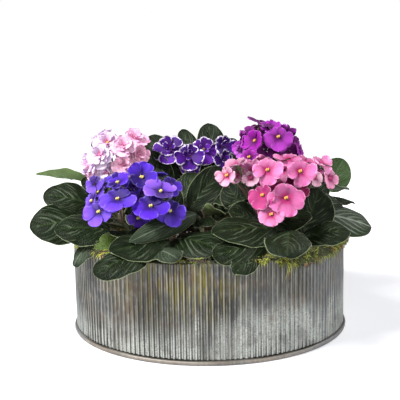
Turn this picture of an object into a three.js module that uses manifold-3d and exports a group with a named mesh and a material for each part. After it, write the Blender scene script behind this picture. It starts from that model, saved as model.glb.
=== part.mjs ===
// Round galvanised planter of five African violets in flower.
// Millimetres, +Z up. The origin is the centre of the pot's underside, and the front of the
// arrangement faces -Y.
import * as THREE from "three";
import { mergeVertices } from "three/addons/utils/BufferGeometryUtils.js";
import Module from "manifold-3d";

const wasm = await Module();
wasm.setup();

// Driving dimensions of the pot
const WALL_RADIUS = 160;
const POT_HEIGHT = 105;
const RIB_COUNT = 174;
const RIB_DEPTH = 1.6;
const SHEET = 1.4;
const INNER_RADIUS = WALL_RADIUS - RIB_DEPTH - SHEET;
const HOOP_RADIUS = 162.5;
const HOOP_HEIGHT = 5;
const HOOP_CHAMFER = 1.5;
const BASE_SHEET = 1.5;
const SEAT_GAP = 0.3;
const ROUND_SEGMENTS = 42;

// Growing mix and moss
const SOIL_LEVEL = 94;
const SOIL_CHAMFER = 4;
const HOLE_RADIUS = 10.5;
const HOLE_DEPTH = 10;
const MOSS_INNER = 112;
const MOSS_HEIGHT = 8;
const MOSS_HANG = 17;
const MOSS_ON_RIM = 17;
const MOSS_FROM = -64;
const MOSS_TO = 6;

// Leaves, stalks and flowers
const CROWN_RADIUS = 9;
const CROWN_TOP = 105;
const ROOT_STAGGER = 4;
const PETIOLE_RADIUS = 1.9;
const BLADE_THICK = 2.4;
const BLADE_STATIONS = [0.08, 0.3, 0.54, 0.77, 0.94];
const BLADE_COLUMNS = [-0.42, 0.42];
const BLADE_WAVE = 1.6;
const PETAL_THICK = 1.5;
const PETAL_WAVE = 0.12;
const INNER_WHORL = 0.62;
const TUBE_LENGTH = 6.6;
const TUBE_RADIUS = 2.7;
const THROAT_RADIUS = 2.4;
const CALYX_RADIUS = 1.4;
const ANTHER_REACH = 2.8;
const SMALL_BLOOM = 14;
const PEDUNCLE_RADIUS = 1.6;
const PEDICEL_RADIUS = 1;
const BRANCH_STEP = 0.06;
const CLEAR_STEP = 1.5;

const vec = (p) => new THREE.Vector3(...p);
const rad = THREE.MathUtils.degToRad;

// Closed geometry to solid, and back to a geometry with flat faces
function solidOf(geometry) {
  const bare = geometry.index ? geometry.toNonIndexed() : geometry.clone();
  bare.deleteAttribute("normal");
  bare.deleteAttribute("uv");
  const merged = mergeVertices(bare, 1e-4);
  return new wasm.Manifold(
    new wasm.Mesh({
      numProp: 3,
      vertProperties: merged.attributes.position.array,
      triVerts: new Uint32Array(merged.index.array),
    }),
  );
}

function geometryOf(solid) {
  const mesh = solid.getMesh();
  const geometry = new THREE.BufferGeometry();
  geometry.setAttribute("position", new THREE.BufferAttribute(mesh.vertProperties, 3));
  geometry.setIndex(new THREE.BufferAttribute(mesh.triVerts, 1));
  geometry.computeVertexNormals();
  return geometry;
}

function indexedSolid(points, faces) {
  const geometry = new THREE.BufferGeometry();
  const flat = points.flatMap((p) => [p.x, p.y, p.z]);
  geometry.setAttribute("position", new THREE.Float32BufferAttribute(flat, 3));
  geometry.setIndex(faces.flat());
  return solidOf(geometry);
}

const crossing = (a, b) => a.intersect(b).volume() > 0;

// The one outer body of a joined solid: small hollows that joining sealed are filled, and loose
// scraps are dropped
const outerBody = (solid) => solid.decompose().reduce((a, b) => (b.volume() > a.volume() ? b : a));

// Tube with few sides along a curve
function tube(curve, radius, sides, steps) {
  const section = new THREE.Shape(
    Array.from({ length: sides }, (_, i) => {
      const turn = (2 * Math.PI * i) / sides;
      return new THREE.Vector2(radius * Math.cos(turn), radius * Math.sin(turn));
    }),
  );
  return solidOf(new THREE.ExtrudeGeometry(section, { steps, extrudePath: curve }));
}

// Ribbed wall: the outer face is pressed into narrow upright ribs, the inner face is plain
function wallGeometry() {
  const outer = Array.from({ length: RIB_COUNT * 2 }, (_, i) => {
    const turn = (Math.PI * i) / RIB_COUNT;
    const radius = i % 2 ? WALL_RADIUS - RIB_DEPTH : WALL_RADIUS;
    return new THREE.Vector2(radius * Math.cos(turn), radius * Math.sin(turn));
  });
  const shape = new THREE.Shape(outer);
  const innerPoints = Array.from({ length: RIB_COUNT / 2 }, (_, i) => {
    const turn = (-4 * Math.PI * i) / RIB_COUNT;
    return new THREE.Vector2(INNER_RADIUS * Math.cos(turn), INNER_RADIUS * Math.sin(turn));
  });
  shape.holes.push(new THREE.Path(innerPoints));
  const foot = HOOP_HEIGHT + SEAT_GAP;
  const geometry = new THREE.ExtrudeGeometry(shape, { depth: POT_HEIGHT - foot, bevelEnabled: false });
  return geometry.translate(0, 0, foot);
}

// Pressed base with the rolled hoop that the wall stands on
function baseGeometry() {
  const profile = [
    [0, 0],
    [HOOP_RADIUS - HOOP_CHAMFER, 0],
    [HOOP_RADIUS, HOOP_CHAMFER],
    [HOOP_RADIUS, HOOP_HEIGHT - HOOP_CHAMFER],
    [HOOP_RADIUS - HOOP_CHAMFER, HOOP_HEIGHT],
    [INNER_RADIUS, HOOP_HEIGHT],
    [INNER_RADIUS - HOOP_CHAMFER, BASE_SHEET],
    [0, BASE_SHEET],
  ];
  return upright(profile);
}

// Turned shape about the Z axis from a radius and height profile
function upright(profile) {
  const points = profile.map(([radius, height]) => new THREE.Vector2(radius, height));
  return new THREE.LatheGeometry(points, ROUND_SEGMENTS).rotateX(Math.PI / 2);
}

// Growing mix that fills the pot, with a plain hole for the crown of each plant
function soilSolid(crowns) {
  const side = INNER_RADIUS - SEAT_GAP - 0.2;
  const foot = BASE_SHEET + SEAT_GAP;
  const step = HOOP_HEIGHT + SEAT_GAP;
  const profile = [
    [0, foot],
    [side - SOIL_CHAMFER, foot],
    [side, step],
    [side, SOIL_LEVEL],
    [0, SOIL_LEVEL],
  ];
  let soil = solidOf(upright(profile));
  for (const [x, y] of crowns) {
    const hole = new THREE.CylinderGeometry(HOLE_RADIUS, HOLE_RADIUS, HOLE_DEPTH * 2, 8);
    hole.rotateX(Math.PI / 2).translate(x, y, SOIL_LEVEL);
    soil = soil.subtract(solidOf(hole));
  }
  return soil;
}

// Lumps on the moss, as a sum of waves round the pot and across the mat
function mossLump(turn, across) {
  return Math.sin(9 * turn + 3 * across) * 0.5 + Math.sin(23 * turn - 5 * across) * 0.5;
}

// Ring or arc of moss from a profile that is a function of the angle round the pot
function mossSweep(profileAt, from, to, steps, closed) {
  const rows = closed ? steps : steps + 1;
  const points = [];
  const faces = [];
  for (let i = 0; i < rows; i++) {
    const turn = rad(from + ((to - from) * i) / steps);
    for (const [radius, height] of profileAt(turn, i / steps))
      points.push(new THREE.Vector3(radius * Math.cos(turn), radius * Math.sin(turn), height));
  }
  const side = points.length / rows;
  for (let i = 0; i < steps; i++)
    for (let j = 0; j < side; j++) {
      const a = i * side + j;
      const b = i * side + ((j + 1) % side);
      const c = ((i + 1) % rows) * side + j;
      const d = ((i + 1) % rows) * side + ((j + 1) % side);
      faces.push([a, b, d], [a, d, c]);
    }
  if (!closed) {
    const last = (rows - 1) * side;
    for (let j = 1; j < side - 1; j++) {
      faces.push([0, j + 1, j]);
      faces.push([last, last + j, last + j + 1]);
    }
  }
  const made = indexedSolid(points, faces);
  return made.volume() < 0 ? indexedSolid(points, faces.map(([a, b, c]) => [a, c, b])) : made;
}

// Mat of moss round the edge of the soil
function mossMat() {
  const under = SOIL_LEVEL + SEAT_GAP;
  const edge = INNER_RADIUS - 2;
  const profileAt = (turn) => [
    [MOSS_INNER + 4 * mossLump(turn, 0), under],
    [edge, under],
    [edge, under + MOSS_HEIGHT + mossLump(turn, 3)],
    [edge - 14, under + MOSS_HEIGHT + 1.5 * mossLump(turn, 2)],
    [MOSS_INNER + 9 + 3 * mossLump(turn, 1), under + MOSS_HEIGHT * 0.7 + mossLump(turn, 1)],
  ];
  return mossSweep(profileAt, 0, 360, 32, true);
}

// Clump of moss that lies on the rim at the right and hangs down outside the wall
function mossClump() {
  const under = POT_HEIGHT + SEAT_GAP;
  const inside = WALL_RADIUS - MOSS_ON_RIM;
  const outside = WALL_RADIUS + 0.5;
  const profileAt = (turn, along) => {
    const taper = 0.35 + 0.65 * Math.sin(Math.PI * along);
    const hang = taper * (MOSS_HANG + 5 * mossLump(turn, 4));
    const puff = 3 + taper * (2 + mossLump(turn, 2));
    return [
      [inside + 2 * mossLump(turn, 0), under],
      [outside, under],
      [outside, under - hang * 0.8],
      [outside + puff * 0.6, under - hang],
      [outside + puff, under - hang * 0.4],
      [WALL_RADIUS, under + puff * 0.8],
      [inside + 5, under + puff * 0.6],
    ];
  };
  return mossSweep(profileAt, MOSS_FROM, MOSS_TO, 15, false);
}

// The five plants: where the crown stands, and each leaf as
// [neck, tip, face, width, arch, cup], where neck and tip are the ends of the blade, face is the
// way the upper side looks, arch lifts the middle of the midrib and cup raises the two edges
const PLANTS = {
  blue: {
    crown: [-68, -55],
    leaves: [
      [[-108, -80, 126], [-166, -95, 130], [-0.1, -0.6, 0.8], 46, 4, -4],
      [[-127, -92, 115], [-144, -108, 93], [-0.5, -0.6, 0.6], 25, 3, -4],
      [[-66, -140, 114], [-113, -172, 99], [-0.2, -0.62, 0.76], 41, 4, -4],
      [[-41, -114, 120], [-99, -153, 117], [0, -0.45, 0.9], 50, 3, -3],
      [[-54, -128, 113], [-31, -165, 112], [0.1, -0.55, 0.83], 30, 3, -3],
      [[-36, -96, 119], [12, -143, 115], [0, -0.5, 0.87], 50, 5, -4],
      [[-78, -84, 120], [-104, -112, 128], [-0.3, -0.5, 0.8], 30, 3, -3],
      [[-34, -22, 144], [-14, 8, 177], [-0.2, -0.8, 0.55], 30, 3, 4],
      [[-22, -36, 141], [16, 0, 184], [0.35, -0.75, 0.55], 34, 4, 4],
      [[-76, -28, 121], [-82, 6, 131], [0, 0.1, 1], 38, 4, -3],
    ],
  },
  pink: {
    crown: [68, -52],
    leaves: [
      [[76, -100, 128], [4, -142, 133], [-0.1, -0.55, 0.83], 50, 5, -5],
      [[83, -122, 131], [76, -173, 115], [0, -0.3, 0.95], 47, 4, -5],
      [[58, -130, 118], [4, -158, 112], [0, -0.55, 0.83], 42, 4, -4],
      [[47, -142, 114], [25, -174, 98], [0, -0.7, 0.7], 26, 2, -2],
      [[106, -54, 136], [182, -60, 121], [0.1, -0.55, 0.83], 52, 7, -6],
      [[102, -88, 117], [151, -101, 124], [0.2, -0.5, 0.84], 40, 4, -3],
      [[66, -88, 132], [109, -108, 142], [0, -0.6, 0.8], 36, 4, -3],
      [[56, -68, 131], [22, -80, 144], [-0.2, -0.7, 0.7], 34, 3, 3],
      [[104, -40, 130], [134, -16, 160], [-0.2, -0.75, 0.6], 48, 4, 3],
      [[122, -22, 126], [176, -6, 128], [0.3, -0.1, 0.95], 46, 5, -4],
      [[56, -24, 122], [44, 8, 136], [0, 0.1, 1], 38, 4, -3],
      [[92, -22, 120], [108, 10, 130], [0, 0.1, 1], 36, 4, -3],
    ],
  },
  pale: {
    crown: [-88, 44],
    leaves: [
      [[-148, -8, 124], [-206, -36, 121], [-0.2, -0.8, 0.55], 56, 5, -4],
      [[-140, 10, 141], [-197, 2, 155], [-0.1, -0.75, 0.65], 46, 4, -3],
      [[-138, 46, 168], [-214, 40, 183], [0, 0.55, 0.83], 40, 5, 4],
      [[-134, 38, 145], [-176, 58, 150], [-0.2, -0.3, 0.93], 40, 4, -3],
      [[-102, 72, 174], [-76, 82, 203], [0.1, -0.85, 0.5], 34, 3, 3],
      [[-136, 82, 128], [-178, 118, 122], [-0.4, 0.4, 0.8], 48, 5, -4],
      [[-96, 112, 127], [-112, 172, 120], [-0.2, 0.5, 0.84], 48, 5, -4],
      [[-62, 28, 125], [-40, 6, 139], [0.2, 0, 1], 34, 4, -3],
      [[-78, 76, 124], [-58, 112, 140], [0, 0.2, 1], 42, 4, -3],
    ],
  },
  magenta: {
    crown: [88, 48],
    leaves: [
      [[146, 40, 150], [168, 42, 188], [0, -0.95, 0.3], 40, 3, 3],
      [[132, 22, 147], [170, 12, 155], [0.1, 0.3, 0.95], 28, 3, 3],
      [[72, 34, 188], [46, 20, 200], [0, -0.6, 0.8], 27, 3, 2],
      [[140, 70, 132], [190, 86, 126], [0.4, 0.1, 0.9], 48, 5, -4],
      [[97, 116, 126], [112, 174, 119], [0.2, 0.5, 0.84], 48, 5, -4],
      [[126, 98, 138], [164, 134, 140], [0.4, 0.4, 0.8], 44, 5, -3],
      [[66, 36, 122], [34, 22, 134], [-0.2, 0, 1], 34, 4, -3],
      [[80, 80, 124], [66, 116, 142], [0, 0.2, 1], 42, 4, -3],
    ],
  },
  edged: {
    crown: [0, 50],
    leaves: [
      [[-13, -76, 142], [-80, -139, 125], [0.25, -0.75, 0.6], 25, 5, -4],
      [[-2, -30, 134], [20, -62, 139], [0, 0.7, 0.7], 28, 3, 3],
      [[8, -20, 150], [44, -57, 155], [0.1, -0.6, 0.8], 30, 3, -2],
      [[-14, -48, 130], [6, -80, 130], [0, -0.5, 0.85], 22, 2, -2],
      [[8, 94, 182], [1, 114, 231], [0, -0.9, 0.4], 36, 3, 3],
      [[20, 84, 178], [35, 92, 212], [0.3, -0.9, 0.3], 28, 3, 3],
      [[-13, 94, 182], [-35, 118, 222], [-0.2, -0.9, 0.4], 26, 3, 3],
      [[-44, 88, 184], [-80, 108, 214], [-0.3, -0.8, 0.5], 30, 3, 3],
      [[-12, 116, 124], [-28, 180, 118], [0, 0.5, 0.87], 50, 5, -4],
      [[34, 112, 128], [58, 172, 128], [0.1, 0.5, 0.85], 46, 5, -4],
      [[2, 84, 126], [8, 124, 148], [0, 0.2, 1], 42, 4, -3],
      [[-26, 52, 120], [-54, 58, 132], [-0.1, 0, 1], 34, 4, -3],
      [[26, 56, 120], [54, 62, 132], [0.1, 0, 1], 32, 4, -3],
    ],
  },
};

// Half width of a leaf blade along the midrib, as a share of its widest half width: an oval that
// is widest a little below the middle
function bladeHalf(along) {
  const rise = 0.48;
  const fall = 0.56;
  const widest = rise / (rise + fall);
  const shape = (s) => s ** rise * (1 - s) ** fall;
  return shape(along) / shape(widest);
}

// Midrib of a leaf, with the directions to its side and out of its upper face
function midribOf([neck, tip, face, , arch]) {
  const start = vec(neck);
  const end = vec(tip);
  const along = end.clone().sub(start).normalize();
  const side = along.clone().cross(vec(face)).normalize();
  const up = side.clone().cross(along).normalize();
  const middle = start.clone().lerp(end, 0.5).addScaledVector(up, 2 * arch);
  return { midrib: new THREE.QuadraticBezierCurve3(start, middle, end), side, up };
}

// Leaf blade: a thick oval sheet that thins to its edge, arched along the midrib
function bladeSolid(leaf, phase) {
  const { midrib, side, up } = midribOf(leaf);
  const [, , , width, , cup] = leaf;
  const at = (s, v, lift) => {
    const half = (width / 2) * bladeHalf(s);
    const wave = BLADE_WAVE * Math.sin(9 * s + phase + (v > 0 ? 2 : 0)) * v * v;
    return midrib
      .getPoint(s)
      .addScaledVector(side, v * half)
      .addScaledVector(up, cup * v * v * bladeHalf(s) + wave + lift);
  };
  const points = [midrib.getPoint(0), midrib.getPoint(1)];
  for (const s of BLADE_STATIONS) {
    points.push(at(s, -1, 0));
    for (const v of BLADE_COLUMNS) points.push(at(s, v, (BLADE_THICK / 2) * (1 - v * v)));
    points.push(at(s, 1, 0));
    for (const v of BLADE_COLUMNS) points.push(at(s, v, (-BLADE_THICK / 2) * (1 - v * v)));
  }
  const count = BLADE_COLUMNS.length;
  const ring = 2 * count + 2;
  const upper = [...Array(count + 2).keys()];
  const lower = [0, ...Array.from({ length: count }, (_, j) => count + 2 + j), count + 1];
  const faces = [];
  const rows = BLADE_STATIONS.length;
  for (let j = 0; j <= count; j++) {
    const last = 2 + (rows - 1) * ring;
    faces.push([0, 2 + upper[j], 2 + upper[j + 1]], [0, 2 + lower[j + 1], 2 + lower[j]]);
    faces.push([1, last + upper[j + 1], last + upper[j]], [1, last + lower[j], last + lower[j + 1]]);
    for (let i = 0; i < rows - 1; i++) {
      const a = 2 + i * ring;
      const b = a + ring;
      faces.push([a + upper[j], b + upper[j], b + upper[j + 1]]);
      faces.push([a + upper[j], b + upper[j + 1], a + upper[j + 1]]);
      faces.push([a + lower[j], b + lower[j + 1], b + lower[j]]);
      faces.push([a + lower[j], a + lower[j + 1], b + lower[j + 1]]);
    }
  }
  const made = indexedSolid(points, faces);
  return made.volume() < 0 ? indexedSolid(points, faces.map(([a, b, c]) => [a, c, b])) : made;
}

// Leaf stalk from the crown, up and over to a point well inside the blade
function petioleSolid(crown, leaf, order) {
  const foot = new THREE.Vector3(crown[0], crown[1], CROWN_TOP - 3 - ROOT_STAGGER * (order % 3));
  const end = midribOf(leaf).midrib.getPoint(0.14);
  const out = end.clone().sub(foot).setZ(0).normalize();
  foot.addScaledVector(out, CROWN_RADIUS * 0.6);
  const bend = foot.clone().lerp(end, 0.55).setZ(Math.max(end.z - 2, CROWN_TOP + 6));
  return tube(new THREE.QuadraticBezierCurve3(foot, bend, end), PETIOLE_RADIUS, 3, 3);
}

// Crown in its hole, with every leaf of the plant grown from it
function rosetteSolid({ crown, leaves }) {
  const foot = SOIL_LEVEL - HOLE_DEPTH + SEAT_GAP;
  const stem = new THREE.CylinderGeometry(CROWN_RADIUS * 0.8, CROWN_RADIUS, CROWN_TOP - foot, 9);
  stem.rotateX(Math.PI / 2).translate(crown[0], crown[1], (CROWN_TOP + foot) / 2);
  let plant = solidOf(stem);
  leaves.forEach((leaf, i) => {
    plant = plant.add(petioleSolid(crown, leaf, i)).add(bladeSolid(leaf, i * 1.7));
  });
  return plant;
}

// Flowers of each plant: [throat, face, petal length], with the kind of flower, its colour and
// the points where the flower stalks branch
const FLOWERS = {
  blue: {
    color: 0x4a2fc4,
    kind: "single",
    hubs: [
      [-96, -82, 138],
      [-58, -84, 138],
    ],
    blooms: [
      [[-115, -108, 151], [-0.3, -0.8, 0.5], 15.5],
      [[-95, -108, 164], [-0.1, -0.6, 0.8], 19],
      [[-60, -114, 157], [0, -0.65, 0.76], 18.5],
      [[-41, -106, 150], [0.4, -0.7, 0.6], 17],
      [[-71, -88, 185], [0.1, -0.9, 0.4], 15.5],
      [[-94, -90, 174], [-0.3, -0.4, 0.87], 13],
      [[-51, -100, 169], [0.25, -0.5, 0.83], 18],
      [[-119, -78, 167], [-0.6, -0.4, 0.7], 12.5],
      [[-124, -90, 160], [-0.8, -0.5, 0.4], 11],
      [[-74, -102, 144], [-0.1, -0.95, -0.2], 12],
      [[-58, -74, 184], [0.2, 0.3, 0.95], 14],
    ],
  },
  pink: {
    color: 0xe0669f,
    kind: "single",
    hubs: [
      [50, -66, 150],
      [92, -72, 150],
    ],
    blooms: [
      [[21, -92, 186], [-0.5, -0.8, 0.3], 11],
      [[32, -80, 195], [-0.4, -0.2, 0.9], 14],
      [[63, -100, 192], [-0.1, -0.9, 0.42], 15.5],
      [[97, -100, 190], [0.15, -0.9, 0.42], 15],
      [[86, -82, 201], [0, -0.3, 0.95], 15],
      [[112, -92, 183], [0.5, -0.7, 0.5], 11],
      [[131, -78, 180], [0.95, -0.3, 0.1], 11],
      [[122, -74, 195], [0.5, -0.3, 0.8], 13],
      [[57, -112, 167], [-0.35, -0.85, 0.4], 14.5],
      [[80, -116, 164], [0.1, -0.95, 0.3], 19],
      [[65, -122, 148], [-0.1, -0.85, 0.5], 13],
      [[62, -60, 192], [-0.1, 0.6, 0.8], 15],
    ],
  },
  magenta: {
    color: 0x9a1a9c,
    kind: "single",
    hubs: [
      [62, 46, 172],
      [94, 46, 170],
    ],
    blooms: [
      [[85, 20, 218], [0.1, -0.9, 0.4], 17],
      [[58, 20, 214], [-0.7, -0.7, 0.2], 16],
      [[64, 42, 235], [0, -0.15, 1], 16],
      [[46, 38, 214], [-1, -0.1, 0.2], 14],
      [[50, 6, 196], [-0.5, -0.85, 0.1], 12],
      [[93, 44, 222], [0.2, 0.5, 0.85], 15],
      [[112, 40, 202], [0.9, -0.3, 0.3], 14],
    ],
  },
  edged: {
    color: 0x3f1c8f,
    kind: "double",
    hubs: [
      [-26, 62, 165],
      [6, 66, 168],
    ],
    blooms: [
      [[-46, 60, 202], [-0.2, -0.85, 0.5], 21],
      [[-23, 48, 194], [0, -0.95, 0.3], 18],
      [[-6, 62, 200], [0.3, -0.85, 0.4], 19],
      [[19, 66, 204], [0.6, -0.75, 0.3], 17],
      [[-10, 112, 168], [-0.1, 0.9, 0.45], 17],
    ],
  },
  pale: {
    color: 0xefc0dd,
    kind: "double",
    hubs: [
      [-114, 40, 165],
      [-92, 44, 168],
    ],
    blooms: [
      [[-120, 20, 214], [-0.1, -0.8, 0.6], 17],
      [[-141, 12, 190], [-0.7, -0.7, 0.1], 16],
      [[-125, 6, 200], [-0.3, -0.9, 0.3], 16],
      [[-120, 8, 182], [-0.2, -0.95, 0], 15],
      [[-102, 10, 188], [0.3, -0.9, 0.2], 15],
      [[-89, 38, 217], [0.4, -0.5, 0.8], 17],
      [[-101, 16, 208], [0.1, -0.85, 0.5], 15],
      [[-88, 22, 199], [0.6, -0.75, 0.2], 15],
      [[-128, 48, 216], [-0.5, 0.3, 0.8], 17],
    ],
  },
};

// Five petals, as [angle from the top, half spread, length share, forward lean]
const PETALS = [
  [34.5, 34.5, 0.8, 0.1],
  [105.5, 36.5, 1, 0.16],
  [180, 38, 1.05, 0.12],
  [254.5, 36.5, 1, 0.16],
  [325.5, 34.5, 0.8, 0.1],
];

// The flower's own frame: Y is up, Z is the way it faces, and the throat is at the origin. Each
// petal is a fan of faces round its middle, on both sides of the sheet, out to a waved edge.
function petalFaces(points, size, lower, upper, { turn, cupped, edges, random }) {
  const put = (angle, radius, height) => {
    const a = rad(angle + turn);
    points.push(new THREE.Vector3(radius * Math.sin(a), radius * Math.cos(a), height));
    return points.length - 1;
  };
  const notches = PETALS.map(([angle, spread, share]) =>
    put(angle - spread, size * share * 0.56, size * (0.02 + 0.4 * cupped)),
  );
  return PETALS.flatMap(([angle, spread, share, lean], k) => {
    const next = (k + 1) % PETALS.length;
    const reach = size * share;
    const edge = edges.map((across) => {
      const round = Math.abs(across) > 0.5 ? 0.9 : 1;
      const wave = (random() - 0.5) * PETAL_WAVE * size;
      return put(angle + across * spread, reach * round, size * (lean + cupped) * round + wave);
    });
    const heart = size * (lean + cupped) * 0.3;
    const above = put(angle, reach * 0.55, heart + PETAL_THICK / 2);
    const below = put(angle, reach * 0.55, heart - PETAL_THICK / 2);
    const rim = [notches[k], ...edge, notches[next]];
    const fan = (centre, inner) => {
      const loop = [...rim, ...inner];
      return loop.map((corner, i) => [centre, loop[(i + 1) % loop.length], corner]);
    };
    const under = fan(below, [lower[next], lower[k]]).map(([a, b, c]) => [a, c, b]);
    return [...fan(above, [upper[next], upper[k]]), ...under];
  });
}

// A flower in one closed piece: five petals, a second whorl of shorter petals that stand up round
// the throat where it is double, the pair of anthers as a small point, and the tube and calyx
// behind. The whorls meet on rings of five corners round the axis.
function bloomSolid(size, kind, random) {
  const points = [new THREE.Vector3(0, 0.4, ANTHER_REACH)];
  const circle = (radius, height) =>
    PETALS.map(([angle, spread]) => {
      const a = rad(angle - spread);
      points.push(new THREE.Vector3(radius * Math.sin(a), radius * Math.cos(a), height));
      return points.length - 1;
    });
  const calyx = circle(CALYX_RADIUS, -TUBE_LENGTH);
  const neck = circle(TUBE_RADIUS, -1);
  const throat = circle(THROAT_RADIUS, 0.5);
  const edges = size < SMALL_BLOOM ? [-0.68, 0, 0.68] : [-0.74, -0.28, 0.28, 0.74];
  const outer = { turn: 0, cupped: 0, edges, random };
  const faces = petalFaces(points, size, neck, throat, outer);
  let top = throat;
  if (kind === "double") {
    top = circle(2, 1.8);
    const inner = { turn: 30, cupped: 0.42, edges: [-0.55, 0.55], random };
    faces.push(...petalFaces(points, size * INNER_WHORL, throat, top, inner));
  }
  PETALS.forEach((_, k) => {
    const next = (k + 1) % PETALS.length;
    faces.push([0, top[next], top[k]]);
    faces.push([neck[k], neck[next], calyx[next]], [neck[k], calyx[next], calyx[k]]);
    if (k > 0 && next > 0) faces.push([calyx[0], calyx[k], calyx[next]]);
  });
  return indexedSolid(points, faces);
}

// Turn and place a flower whose throat is at a point and which faces a given way
function placed(solid, throat, face) {
  const front = vec(face).normalize();
  const upward = Math.abs(front.z) > 0.9 ? new THREE.Vector3(0, 1, 0) : new THREE.Vector3(0, 0, 1);
  const right = upward.clone().cross(front).normalize();
  const top = front.clone().cross(right);
  const matrix = new THREE.Matrix4().makeBasis(right, top, front).setPosition(throat);
  return solid.transform(matrix.toArray());
}

// Point a little behind a flower's calyx, where its stalk still runs straight
const behind = (end, front) => end.clone().addScaledVector(front, -6);

// Ways for a thin stalk to bow out between its branching point and its flower: straight first,
// then further and further out, to eight sides
function bows(hub, end, front) {
  const middle = hub.clone().lerp(behind(end, front), 0.5);
  const across = front.clone().cross(hub.clone().sub(end)).normalize();
  const along = across.clone().cross(front).normalize();
  const ways = [middle];
  for (const reach of [6, 12, 18, 26, 34])
    for (let k = 0; k < 8; k++) {
      const turn = (k * Math.PI) / 4;
      const control = middle.clone().addScaledVector(across, reach * Math.cos(turn));
      ways.push(control.addScaledVector(along, reach * Math.sin(turn)));
    }
  return ways;
}

// Flower stalks of one plant. Each thin stalk runs from a branching point to just behind its
// flower, and bows to the first side on which it touches nothing
function stalkSolid(crown, hubs, flowers, others) {
  let stalks = null;
  const branches = hubs.map(vec).map((hub) => {
    const foot = new THREE.Vector3(crown[0], crown[1], CROWN_TOP - 4);
    const bend = foot.clone().lerp(hub, 0.7).setZ((foot.z + hub.z) / 2);
    const curve = new THREE.QuadraticBezierCurve3(foot, bend, hub);
    const stem = tube(curve, PEDUNCLE_RADIUS, 3, 3);
    stalks = stalks ? stalks.add(stem) : stem;
    return { curve, used: 0 };
  });
  for (const { throat, front } of flowers) {
    const end = throat.clone().addScaledVector(front, -TUBE_LENGTH - SEAT_GAP);
    const away = ({ curve }) => curve.getPoint(1).distanceTo(end);
    let stalk = null;
    for (const branch of [...branches].sort((a, b) => away(a) - away(b))) {
      const start = branch.curve.getPoint(1 - BRANCH_STEP * (branch.used + 0.3));
      stalk = bows(start, end, front)
        .map((control) => new THREE.CubicBezierCurve3(start, control, behind(end, front), end))
        .map((way) => tube(way, PEDICEL_RADIUS, 3, 3))
        .find((way) => !others.some((solid) => crossing(way, solid)));
      if (stalk) {
        branch.used += 1;
        break;
      }
    }
    if (!stalk) throw new Error("no clear way for the stalk at " + throat.toArray());
    stalks = stalks.add(stalk);
  }
  return stalks;
}

// Seeded random numbers, the same on every run
function seeded(seed) {
  let state = seed;
  return () => {
    state = (state * 1664525 + 1013904223) % 4294967296;
    return state / 4294967296;
  };
}

const planter = new THREE.Group();

function addMesh(name, geometry, color, roughness, metalness) {
  const mesh = new THREE.Mesh(geometry, new THREE.MeshStandardMaterial({ color, roughness, metalness }));
  mesh.name = name;
  planter.add(mesh);
}

const names = Object.keys(PLANTS);
const mat = mossMat();
const clump = mossClump();
addMesh("pot_wall", wallGeometry(), 0x8b8f93, 0.5, 0.8);
addMesh("pot_base", baseGeometry(), 0x7a736a, 0.55, 0.8);
addMesh("soil", geometryOf(soilSolid(names.map((name) => PLANTS[name].crown))), 0x2b1f17, 0.95, 0);
addMesh("moss_mat", geometryOf(mat), 0x7d8a24, 0.95, 0);
addMesh("moss_clump", geometryOf(clump), 0x7d8a24, 0.95, 0);

const rosettes = Object.fromEntries(names.map((name) => [name, rosetteSolid(PLANTS[name])]));
const standing = [mat, clump, ...Object.values(rosettes)];
const random = seeded(41);
const flowersOf = {};
for (const name of names) {
  const { blooms, kind } = FLOWERS[name];
  flowersOf[name] = blooms.map(([at, face, size]) => {
    const shape = bloomSolid(size, kind, random);
    const front = vec(face).normalize();
    const throat = vec(at);
    let solid = placed(shape, throat, face);
    while (standing.some((other) => crossing(solid, other))) {
      throat.addScaledVector(front, CLEAR_STEP);
      solid = placed(shape, throat, face);
    }
    standing.push(solid);
    return { throat, front, solid };
  });
}

for (const name of names) {
  const others = standing.filter((solid) => solid !== rosettes[name]);
  const stalks = stalkSolid(PLANTS[name].crown, FLOWERS[name].hubs, flowersOf[name], others);
  addMesh(name + "_plant", geometryOf(outerBody(rosettes[name].add(stalks))), 0x23361f, 0.6, 0);
  flowersOf[name].forEach(({ solid }, i) =>
    addMesh(name + "_bloom_" + (i + 1), geometryOf(solid), FLOWERS[name].color, 0.55, 0),
  );
}

export default planter;
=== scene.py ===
import bpy
import math
import numpy as np
from mathutils import Matrix, Vector
from mathutils.bvhtree import BVHTree


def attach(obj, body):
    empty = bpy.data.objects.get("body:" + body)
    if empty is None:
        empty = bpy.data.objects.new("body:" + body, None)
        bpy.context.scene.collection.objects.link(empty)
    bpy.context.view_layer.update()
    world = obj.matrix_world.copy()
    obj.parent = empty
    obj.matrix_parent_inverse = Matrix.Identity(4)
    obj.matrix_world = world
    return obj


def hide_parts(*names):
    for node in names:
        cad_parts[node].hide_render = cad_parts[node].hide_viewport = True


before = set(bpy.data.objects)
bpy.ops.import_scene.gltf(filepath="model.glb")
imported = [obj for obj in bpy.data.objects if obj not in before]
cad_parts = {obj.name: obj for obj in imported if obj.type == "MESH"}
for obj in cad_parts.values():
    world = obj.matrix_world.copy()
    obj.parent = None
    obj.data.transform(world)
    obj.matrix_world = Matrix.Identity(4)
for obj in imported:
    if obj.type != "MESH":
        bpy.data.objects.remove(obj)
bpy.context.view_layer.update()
MM = 0.001

# Camera, light and floor
# A long lens looks slightly down at the planter, which stands on white paper under a large soft
# lamp at the upper left, with white all round it.
CAMERA_AT = Vector((0.0, -0.9064, 0.2844))
CAMERA_AIM = Vector((-0.0099, 0.0131, 0.1439))
CAMERA_ROLL = math.radians(-0.914)
LENS_MM = 69.24
SURROUND_LIGHT = 0.08
FLOOR_REACH = 6.0
scene = bpy.context.scene
scene.view_settings.view_transform = "Standard"


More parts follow.
